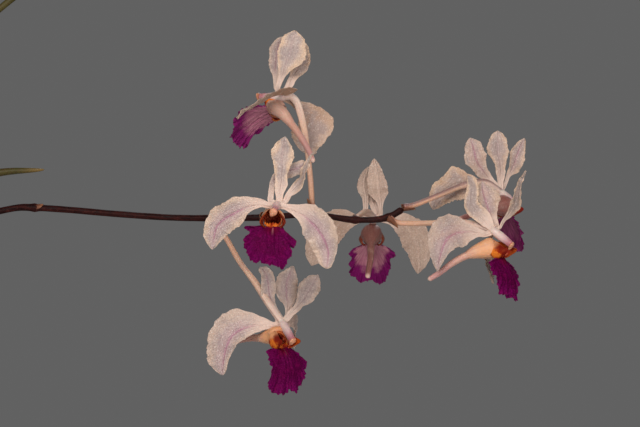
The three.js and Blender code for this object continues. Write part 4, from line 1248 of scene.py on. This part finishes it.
def mid_lobe(skin, flower, number):
    """The lip's fan: rays from its neck to a ragged outline, arched, keeled and frilled at the rim."""
    lip_axes = lip_frame(flower)
    rng = np.random.default_rng(FAN_SEED + number)
    s = np.linspace(0, 1, FAN_COLUMNS)
    rim, _, _ = curve([(a, d, 0.0) for a, d in flower["lobe"]], s)
    teeth = 0.022 * wander(rng, s, (23, 37, 61), 0.8) * smoothstep(s, 0.0, 0.1) * smoothstep(s, 1.0, 0.9)
    rim = rim * (1 + teeth)[:, None]
    r = np.sin(np.linspace(0, 1, FAN_ROWS) * math.pi / 2)[:, None]
    a = (s - 0.5)[None] * NECK_WIDTH * (1 - r) + rim[None, :, 0] * r
    d = rim[None, :, 1] * r
    arch = FAN_ARCH * np.sin(math.pi * np.clip(d / FAN_ARCH_LENGTH, 0, 1)) - 0.016 * a**2
    keel = 0.75 * (hump(a, 0.55) + 0.7 * hump(np.abs(a) - 1.7, 0.5))
    keel = keel * smoothstep(d, -0.5, 1.5) * smoothstep(d, 11.0, 4.0)
    frill = r**4 * (0.8 * wander(rng, s, (7, 12), 0.8) + 0.5 * wander(rng, s, (21, 33), 0.8))[None]
    folds = 0.3 * r**1.5 * wander(rng, s, (4, 7), 0.7)[None]
    middle = on_lip(lip_axes, a, d, arch + keel + frill + folds)
    outward = lip_axes[3]
    lumps = 0.4 * noise_at(middle, 2.2, number) + 0.12 * noise_at(middle, 0.9, number)
    middle = out_along(middle, (outward, lumps))
    heart = (15, FAN_COLUMNS // 2)
    facing = np.cross(np.gradient(middle, axis=1)[heart], np.gradient(middle, axis=0)[heart])
    if facing.dot(outward) < 0:
        middle, s = middle[:, ::-1], s[::-1]
    skin.sheet(middle, 0.55 - 0.3 * r, (2 * s - 1)[None], r, up=outward)


def spur(skin, flower):
    """The funnel behind the mouth: an outer skin down to the spur's tip, and the liner of the throat."""
    hinge, across, down, outward = lip_frame(flower)
    size, centre = flower["size"], np.array(flower["centre"], float)
    mouth = hinge - down * MOUTH_HALF_HEIGHT * size
    points = [mouth + outward * 0.4] + [centre + size * np.array(p) for p in flower["spur"]]
    share = np.linspace(0, 1, SPUR_ROWS)
    place_at, along, _ = curve(points, share)
    bulge = np.clip(1 - SAC_FALL * np.abs(share - SAC_MIDDLE), 0, None) ** 0.85
    sac = flower.get("sac_swell", SAC_SWELL) * bulge
    radius = (SPUR_TIP_RADIUS + sac + 0.9 * (1 - share)) * size
    radius = radius * round_end(share, 0.965, 0.036, 0.01)
    opening = smoothstep(share, 0.10, 0.0)
    wide = radius * (1 - opening) + MOUTH_HALF_WIDTH * size * opening
    tall = radius * (1 - opening) + MOUTH_HALF_HEIGHT * size * opening
    side = unit(across - along * (along @ across)[:, None])
    other = np.cross(along, side)
    angle = np.linspace(0, 2 * math.pi, SPUR_SIDES, endpoint=False)
    dent = 1 + 0.02 * np.cos(3 * angle)[None] + 0.015 * np.sin(5 * angle + 1)[None]

    def ring(rows, inset):
        sideways = (wide[rows] - inset)[:, None] * np.cos(angle) * dent
        upwards = (tall[rows] - inset)[:, None] * np.sin(angle) * dent
        rise = other[rows, None] * upwards[..., None]
        height = 0.5 - 0.5 * (rise @ down) / (MOUTH_HALF_HEIGHT * size)
        pinch = opening[rows, None] * np.clip(height, 0, 1)
        breadth = side[rows, None] * (sideways * (1 - MOUTH_PINCH * pinch))[..., None]
        return place_at[rows, None] + rise + breadth - outward * (MOUTH_LEAN * pinch)[..., None]

    def tag(depth, inside):
        turn, grid = np.meshgrid(angle / (2 * math.pi), depth, indexing="xy")
        return np.stack([turn, grid, np.full(grid.shape, inside)], -1)

    outer = np.arange(len(share))[::-1]
    inner = np.arange(THROAT_ROWS)
    rings = np.concatenate([ring(outer, 0.0), ring(inner, 0.4)])
    addresses = np.concatenate([tag(share[outer], 0.0), tag(share[inner] / share[THROAT_ROWS], 1.0)])
    skin.tube(rings, addresses, finish=[SPUR_SLOT] * (len(outer) - 1) + [THROAT_SLOT] * THROAT_ROWS)


def side_lobe(skin, flower, side, number):
    """A side lobe: a fin from the rim of the mouth, drawn out forward to a tip beside the hinge."""
    size = flower["size"]
    rng = np.random.default_rng(LOBE_SEED + number)
    s = np.linspace(0, 1, LOBE_ROWS)
    base, _, _ = curve(SIDE_LOBE_BASE, s)
    edge, _, _ = curve(SIDE_LOBE_EDGE, s)
    edge[:, 2] += 0.25 * wander(rng, s, (2, 5))
    h = np.sin(np.linspace(0, 1, LOBE_COLUMNS) * math.pi / 2)
    grid = base[:, None] * (1 - h[None, :, None]) + edge[:, None] * h[None, :, None]
    grid[..., 0] += 0.35 * np.sin(math.pi * h) * smoothstep(s, 0.0, 0.3)[:, None]
    grid = grid * size
    if side < 0:
        grid = grid[::-1]
    lip_axes = lip_frame(flower)
    middle = on_lip(lip_axes, side * grid[..., 0], grid[..., 1], grid[..., 2])
    depth = 0.5 * (1 - h)[None]
    run = s if side > 0 else s[::-1]
    if np.cross(lip_axes[3], lip_axes[2]).dot(lip_axes[1]) > 0:
        middle, run = middle[::-1], run[::-1]
    skin.sheet(middle, 0.75 - 0.45 * h[None], run[:, None], depth, finish=THROAT_SLOT)


def callus(skin, flower, number):
    """Small warts on the floor of the mouth, at the head of the keels."""
    hinge, across, down, outward = lip_frame(flower)
    rng = np.random.default_rng(WART_SEED + number)
    polar = np.linspace(0.15, math.pi - 0.15, WART_ROWS)[:, None]
    turn = np.linspace(0, 2 * math.pi, WART_SIDES, endpoint=False)
    x, y, z = np.broadcast_arrays(np.sin(polar) * np.cos(turn), np.sin(polar) * np.sin(turn), np.cos(polar))
    for a, d, radius in CALLUS_WARTS:
        middle = hinge + (across * a + down * d + outward * rng.uniform(0.0, 0.4)) * flower["size"]
        ball = x[..., None] * across * 0.9 + y[..., None] * down * 1.2 + z[..., None] * outward * 0.8
        swell = radius * flower["size"] * (1 + 0.25 * noise_at(ball * 3, 1.0, number + a))
        skin.tube(middle + ball * swell[..., None], np.full(ball.shape, CALLUS_ADDRESS), finish=THROAT_SLOT)


def lip(flower, number):
    skin = Skin()
    mid_lobe(skin, flower, number)
    spur(skin, flower)
    for side in (-1, 1):
        side_lobe(skin, flower, side, number * 2 + side)
    callus(skin, flower, number)
    look = (flower.get("lip_pale", 0.2), flower.get("sac_painted_shade", 0.0), flower.get("sac_orange", 0.0))
    skin.build(flower["name"] + "_lip", [MID_LOBE, THROAT, SPUR], flower["name"] + "_lip", "lip", look=look)


def pedicel(flower, number):
    """Pedicel, twisted ribbed ovary, column and anther cap, in one piece."""
    size, centre = flower["size"], np.array(flower["centre"], float)
    cap = centre + size * np.array(flower["column"])
    column_way = unit(cap - centre)
    points = flower["pedicel"] + [list(centre), list(centre + 0.35 * (cap - centre))]
    name = flower["name"] + "_pedicel"

    def stalk(share, angle):
        radius = PEDICEL_RADIUS + (OVARY_RADIUS * size - PEDICEL_RADIUS) * smoothstep(share, 0.3, 0.8)
        radius = radius * (1 + 0.22 * smoothstep(share, 0.05, 0.0))
        rib = 0.07 * np.cos(6 * angle + 5 * share) * smoothstep(share, 0.3, 0.7)
        return radius * (1 + rib + 0.02 * np.sin(23 * share + number))

    def column(share, angle):
        taper = 0.82 + 0.18 * smoothstep(share, 0.0, 0.3) - 0.2 * smoothstep(share, 0.4, 1.0)
        wing = 0.12 * np.cos(2 * angle) * smoothstep(share, 0.3, 0.8)
        hollow = 0.28 * hump(np.cos(angle - math.pi) - 1, 0.12)
        hollow = hollow * smoothstep(share, 0.45, 0.8)
        return COLUMN_RADIUS * size * taper * (1 + wing - hollow)

    def anther(share, angle):
        dome = np.sqrt(np.clip(1 - (2 * share - 1) ** 2, 0.02, 1)) * (1.06 - 0.12 * share)
        beak = 0.45 * hump(angle - math.pi, 0.45) * smoothstep(share, 0.2, 0.7)
        seam = 0.06 * hump(np.abs(angle - math.pi) - math.pi, 0.16)
        return CAP_RADIUS * size * (dome * (1 - seam) + beak)

    column_path = [centre - column_way * 1.6, centre + (cap - centre) * 0.4, cap]
    cap_path = [cap + column_way * step * size for step in (-0.4, 0.5, 1.3)]
    cap_shares = (1 - np.cos(np.linspace(0.05, math.pi - 0.05, CAP_ROWS))) / 2
    skin = Skin()
    tubes = [
        (points, np.linspace(0, 1, PEDICEL_ROWS), (0.1, 0.3, 1.0), stalk, PEDICEL_SIDES),
        (column_path, np.linspace(0, 1, COLUMN_ROWS), flower["out"], column, COLUMN_SIDES),
        (cap_path, cap_shares, flower["out"], anther, COLUMN_SIDES),
    ]
    for finish, tube in enumerate(tubes):
        rings, address = rings_along(*tube)
        skin.tube(rings, address, finish)
    look = (0.0, flower.get("pedicel_shade", 0.0), 0.0)
    skin.build(name, [PEDICEL, COLUMN, CAP], name, "pedicel", look=look)


def bract(skin, base, axis, outward, ring, length):
    """A small pointed scale: it clasps a stalk of radius ring that leaves base along axis."""
    t = np.linspace(0, 1, 16)[:, None]
    turn = np.linspace(-1, 1, 13)[None]
    side = np.cross(axis, outward)
    wrap = turn * 1.9 * np.sqrt(np.clip(1 - t**1.5, 0.001, 1))
    out = ring + 0.05 * length * t**2
    onward = (axis, length * t * np.ones_like(turn))
    middle = out_along(base, onward, (outward, out * np.cos(wrap)), (side, out * np.sin(wrap)))
    skin.sheet(middle, 0.25, turn, t, finish=BRACT_SLOT)


def peduncle():
    """Flower stalk with its swollen nodes, a bract round each pedicel's foot and two empty bracts."""
    share = np.linspace(0, 1, STALK_ROWS)
    track, along, length = curve(STALK, share)
    skin = Skin()
    nodes = []
    for flower in FLOWERS:
        start = np.array(flower["pedicel"][0], float)
        onward = unit(np.array(flower["pedicel"][1], float) - start)
        i = np.argmin(np.linalg.norm(track - start, axis=1))
        below = unit(-along[i] + onward * along[i].dot(onward))
        bract(skin, start - onward * 0.6, onward, below, PEDICEL_RADIUS * 1.45, PEDICEL_BRACT_LENGTH)
        nodes.append(share[i])
    for x, way in EMPTY_BRACTS:
        i = np.argmin(np.abs(track[:, 0] - x))
        outward = unit(np.array(way) - along[i] * along[i].dot(way))
        bract(skin, track[i] - along[i] * 0.8, along[i], outward, STALK_RADIUS * 1.12, EMPTY_BRACT_LENGTH)
        nodes.append(share[i])

    def stalk(at, angle):
        radius = STALK_RADIUS * (1.12 - 0.2 * at)
        for node in nodes:
            away = (at - node) * length
            radius = radius + 0.42 * hump(away, 1.3)
            radius = radius + 0.12 * hump(away + 2.5, 3.5)
        rib = 0.035 * np.cos(5 * angle + 9 * at)
        end = round_end(at, 0.995, 0.0051, 0.05)
        return radius * (1 + rib + 0.012 * np.sin(170 * at)) * end

    rings, address = rings_along(STALK, share, (0, 0, 1), stalk, STALK_SIDES)
    skin.tube(rings, address)
    skin.build("peduncle", [STALK_SKIN, BRACT], "peduncle", "peduncle")


def leaf(points, number):
    bend = np.random.default_rng(LEAF_SEED + number).uniform(0, 6)
    _, _, length = curve(points, [0])

    def quill(share, angle):
        flare = (LEAF_BASE_RADIUS - LEAF_RADIUS) * np.clip(1 - 9 * share, 0, None)
        point = np.clip((1 - share) * length / LEAF_TAPER + 0.002, 0, 1) ** 0.4
        upper = np.minimum(angle, 2 * math.pi - angle)
        groove = 0.30 * hump(upper, 0.42) * smoothstep(share, 0.02, 0.12)
        keel = 0.05 * np.cos(3 * angle)
        return (LEAF_RADIUS + flare) * point * (1 - groove + keel + 0.02 * np.sin(31 * share + bend))

    name = f"leaf_{number}"
    rings, address = rings_along(points, crowded(QUILL_ROWS, 1.3), (0, 0, 1), quill, QUILL_SIDES)
    skin = Skin()
    skin.tube(rings, address)
    skin.build(name, [LEAF], name, "leaf")


def stem():
    """Stem wrapped in old leaf sheaths, one above another, each ending in a ragged collar."""
    rng = np.random.default_rng(STEM_SEED)
    top = STEM_TOP - STEM_CROWN
    points = [[0, 0, STEM_FOOT], [0.6, 0, 115], [-0.4, 0, 150], [0, 0, top]]
    bases = sorted(path[0][2] for path in LEAVES)

    def core(share, angle):
        height = STEM_FOOT + share * (top - STEM_FOOT)
        radius = STEM_RADIUS * (1 - 0.45 * share**4)
        step = np.zeros_like(share)
        for z in bases:
            step = np.maximum(step, 0.9 * smoothstep(height, z - SHEATH_LENGTH, z) * (height < z + 0.6))
        return radius * (0.86 + 0.02 * np.cos(2 * angle)) + step * 0.9

    skin = Skin()
    rings, address = rings_along(points, np.linspace(0, 1, STEM_ROWS), (1, 0, 0), core, STEM_SIDES)
    skin.tube(rings, address)
    for path in LEAVES:
        base = np.array(path[0], float)
        outward = unit(base * np.array([1, 1, 0]))
        if abs(base[0]) < 1:
            continue
        t = np.linspace(0, 1, 22)[:, None]
        turn = np.linspace(-1, 1, 25)[None]
        spread = (2.5 - 1.25 * t**2) * turn
        ring = STEM_RADIUS * 1.02 + 0.9 * t
        ragged = 0.5 * wander(rng, turn[0] * 0.5 + 0.5, (4, 9))[None] * t
        height = base[2] - SHEATH_LENGTH + (17 - 5 * turn**2) * t + ragged
        side = np.array([-outward[1], outward[0], 0.0])
        middle = (
            outward * (ring * np.cos(spread))[..., None]
            + side * (ring * np.sin(spread))[..., None]
            + np.array([0, 0, 1.0]) * height[..., None]
        )
        skin.sheet(middle, 0.35, turn, t)
    skin.build("stem", [STEM], "stem", "stem")


def root(points, number):
    name = f"root_{number}"

    def velamen(share, angle):
        radius = ROOT_RADIUS * (1 - 0.12 * share) * np.sqrt(np.clip(1 - share**22, 0.02, 1))
        wrinkle = 0.035 * np.sin(9 * angle + 14 * share + number)
        wrinkle = wrinkle + 0.03 * np.sin(70 * share + 2 * np.sin(angle))
        return radius * (1 + wrinkle + 0.05 * np.sin(17 * share + number))

    skin = Skin()
    rings, address = rings_along(points, crowded(QUILL_ROWS, 1.2), (0.2, 0.1, 1.0), velamen, QUILL_SIDES)
    rings = rings + 0.16 * noise_at(rings, 2.4, number)[..., None]
    skin.tube(rings, address)
    skin.build(name, [ROOT], name, "root")


def lathe(profile, sides):
    """Rings about the Z axis, one for each radius and height of the profile."""
    angle = np.linspace(0, 2 * math.pi, sides, endpoint=False)
    return np.array([[(r * math.cos(a), r * math.sin(a), z) for a in angle] for r, z in profile])


def inside_radius(z):
    """Inside radius of the pot at a height."""
    floor, brim = FOOT_RADIUS - POT_WALL, RIM_RADIUS - POT_WALL
    return floor + (brim - floor) * (z - POT_WALL) / (POT_HEIGHT - POT_WALL)


def chip(rng, centre, size, shade):
    """One angular chip: the hull of a few random points in a flat slab."""
    work = bmesh.new()
    extent = np.array([1.0, rng.uniform(0.55, 0.8), rng.uniform(0.28, 0.45)]) * size / 2
    corners = rng.uniform(-1, 1, (CHIP_CORNERS, 3))
    corners = corners / np.maximum(np.abs(corners).max(axis=1, keepdims=True), 1e-6)
    corners = corners * rng.uniform(0.8, 1, (CHIP_CORNERS, 1))
    spin = Euler((rng.normal(0, 0.45), rng.normal(0, 0.45), rng.uniform(0, 2 * math.pi))).to_matrix()
    for corner in corners * extent @ np.array(spin).T + centre:
        work.verts.new(corner)
    result = bmesh.ops.convex_hull(work, input=work.verts)
    loose = [v for v in result["geom_interior"] if isinstance(v, bmesh.types.BMVert)]
    bmesh.ops.delete(work, geom=loose, context="VERTS")
    work.verts.index_update()
    points = np.array([v.co for v in work.verts])
    faces = [tuple(v.index for v in face.verts) for face in work.faces]
    work.free()
    return points, np.tile([shade, 0.0, 1.0], (len(points), 1)), faces


def bark():
    """A body of bark that fills the pot, with loose chips over its crown."""
    rng = np.random.default_rng(BARK_SEED)
    low = POT_WALL + BARK_GAP
    profile = [(0.5, low), (inside_radius(low) - BARK_GAP, low)]
    for z in np.linspace(low + 4, BARK_TOP - 3, 14):
        profile.append((inside_radius(z) - BARK_GAP, z))
    for share in np.linspace(0, 1, 14)[1:]:
        profile.append(((inside_radius(BARK_TOP) - 2) * (1 - share) + 0.5, crown_height(1 - share) - 1.5))
    rings = lathe(profile, BARK_SIDES)
    lumps = noise_at(rings, 6.0) * 0.9
    rings[2:, :, 2] += lumps[2:]
    skin = Skin()
    skin.tube(rings, np.tile([0.0, 0.0, 1.0], (*rings.shape[:2], 1)))
    for _ in range(CHIPS):
        size = rng.uniform(*CHIP_SIZES)
        reach = (inside_radius(BARK_TOP) - 1.5 - size / 2) * math.sqrt(rng.uniform(0, 1))
        turn = rng.uniform(0, 2 * math.pi)
        where = np.array([reach * math.cos(turn), reach * math.sin(turn), 0.0])
        if reach < STEM_RADIUS + size / 2:
            continue
        where[2] = crown_height(reach / inside_radius(BARK_TOP)) + rng.uniform(-2.2, 0.6)
        skin.add(*chip(rng, where, size, rng.uniform(0, 1)), 0)
    skin.build("bark_mix", [BARK], "bark_mix", "bark", sharp=28)


def crown_height(share):
    """Height of the bark at a share of the way from the pot's middle to its wall."""
    return BARK_TOP + BARK_CROWN * (1 - share**2) - 1.0


def pot():
    """Thrown pot: one lathed wall with soft edges, and three holes drilled in its foot."""
    under = POT_HEIGHT - RIM_HEIGHT
    profile = [
        (0.5, 0.0), (FOOT_RADIUS - 8, 0.0), (FOOT_RADIUS - 1.2, 0.0), (FOOT_RADIUS - 0.4, 0.35),
        (FOOT_RADIUS, 1.2),
    ]
    for share in np.linspace(0, 1, 22)[1:-1]:
        profile.append((FOOT_RADIUS + (RIM_RADIUS - RIM_STEP - FOOT_RADIUS) * share, under * share))
    profile += [
        (RIM_RADIUS - RIM_STEP - 0.1, under - 0.6), (RIM_RADIUS - RIM_STEP + 0.6, under),
        (RIM_RADIUS - 1.2, under + 0.1), (RIM_RADIUS - 0.3, under + 0.6), (RIM_RADIUS, under + 1.6),
        (RIM_RADIUS, under + 5), (RIM_RADIUS - 0.25, under + 8), (RIM_RADIUS, under + 11),
        (RIM_RADIUS, POT_HEIGHT - 2.2), (RIM_RADIUS - 0.5, POT_HEIGHT - 0.8),
        (RIM_RADIUS - 1.6, POT_HEIGHT), (inside_radius(POT_HEIGHT) + 1.4, POT_HEIGHT),
        (inside_radius(POT_HEIGHT) + 0.3, POT_HEIGHT - 0.7),
    ]
    for share in np.linspace(0, 1, 20)[1:]:
        z = POT_HEIGHT - 1.8 - (POT_HEIGHT - 1.8 - POT_WALL) * share
        profile.append((inside_radius(z), z))
    profile.append((0.5, POT_WALL))
    rings = lathe(profile, POT_SIDES)
    wobble = 0.18 * noise_at(rings, 30.0, 3.0)
    ring_mark = 0.10 * np.sin(rings[..., 2] * 1.1) * (rings[..., 2] > 3) * (rings[..., 2] < under - 2)
    outward = unit(rings * np.array([1, 1, 0]))
    rings = rings + outward * (wobble + ring_mark)[..., None]
    turn = np.broadcast_to(np.arange(POT_SIDES) / POT_SIDES, rings.shape[:2])
    address = np.stack([turn, rings[..., 2] / POT_HEIGHT, np.ones(rings.shape[:2])], -1)
    skin = Skin()
    skin.tube(rings, address)
    piece = skin.build("pot", [POT], "pot", "terracotta")
    drill = Skin()
    for i in range(DRAIN_HOLES):
        way = 2 * math.pi * i / DRAIN_HOLES + math.pi / 2
        centre = DRAIN_CIRCLE_RADIUS * np.array([math.cos(way), math.sin(way), 0])
        rings = centre + lathe([(DRAIN_RADIUS, -8.0), (DRAIN_RADIUS, 14.0)], DRAIN_SIDES)
        drill.tube(rings, np.ones(rings.shape))
    cutter = drill.build("drain_drill", [POT], None, "terracotta")
    cut = piece.modifiers.new("drain holes", "BOOLEAN")
    cut.operation, cut.object, cut.solver = "DIFFERENCE", cutter, "EXACT"
    bpy.context.view_layer.update()
    pierced = bpy.data.meshes.new_from_object(piece.evaluated_get(bpy.context.evaluated_depsgraph_get()))
    piece.modifiers.clear()
    piece.data = pierced
    pierced.set_sharp_from_angle(angle=math.radians(50))
    bpy.data.objects.remove(cutter)


# Studio

def studio():
    """Pale floor, soft lights near the camera's side, a plain grey surround and the photograph's camera."""
    scene = bpy.context.scene
    bpy.ops.mesh.primitive_circle_add(
        vertices=FLOOR_SIDES, radius=FLOOR_END + 0.1, fill_type="NGON", location=(0, 0, 0)
    )
    floor = bpy.context.object
    floor.name = "studio_floor"
    floor.data.materials.append(floor_finish())

    world = bpy.data.worlds.new("surround")
    world.use_nodes = True
    world.node_tree.nodes["Background"].inputs["Color"].default_value = (*SURROUND, 1.0)
    world.node_tree.nodes["Background"].inputs["Strength"].default_value = 1.0
    scene.world = world
    scene.view_settings.view_transform = "Standard"

    target = np.array([VIEW_CENTRE[0], 0.0, VIEW_CENTRE[1]]) * MM
    for name, offset, size, power, colour in LIGHTS:
        lamp = bpy.data.lights.new(name, "AREA")
        lamp.shape, lamp.size, lamp.energy, lamp.color = "DISK", size, power, colour
        light = bpy.data.objects.new(name, lamp)
        light.location = Vector(target) + Vector(offset)
        light.rotation_mode = "QUATERNION"
        light.rotation_quaternion = (-Vector(offset)).to_track_quat("-Z", "Y")
        light.visible_camera = False
        scene.collection.objects.link(light)

    camera = bpy.data.cameras.new("camera")
    camera.lens, camera.sensor_width = LENS_MM, SENSOR_MM
    camera.clip_start, camera.clip_end = 0.05, 50.0
    eye = bpy.data.objects.new("camera", camera)
    eye.location = (VIEW_CENTRE[0] * MM, -CAMERA_DISTANCE * MM, VIEW_CENTRE[1] * MM)
    eye.rotation_euler = (math.pi / 2, 0, 0)
    scene.collection.objects.link(eye)
    scene.camera = eye


studio()

TEPAL = tepal_finish()
MID_LOBE = mid_lobe_finish()
THROAT = throat_finish()
SPUR = spur_finish()
PEDICEL = pedicel_finish()
COLUMN = column_finish()
CAP = cap_finish()
STALK_SKIN = stalk_finish()
BRACT = bract_finish()
LEAF = leaf_finish()
STEM = stem_finish()
ROOT = root_finish()
BARK = bark_finish()
POT = pot_finish()

pot()
bark()
stem()
for number, points in enumerate(ROOTS, 1):
    root(points, number)
for number, points in enumerate(LEAVES, 1):
    leaf(points, number)
peduncle()
for number, flower in enumerate(FLOWERS, 1):
    pedicel(flower, number)
    lip(flower, number)
    for part_number, part_name in enumerate(TEPALS):
        tepal(flower, part_name, number * 10 + part_number)
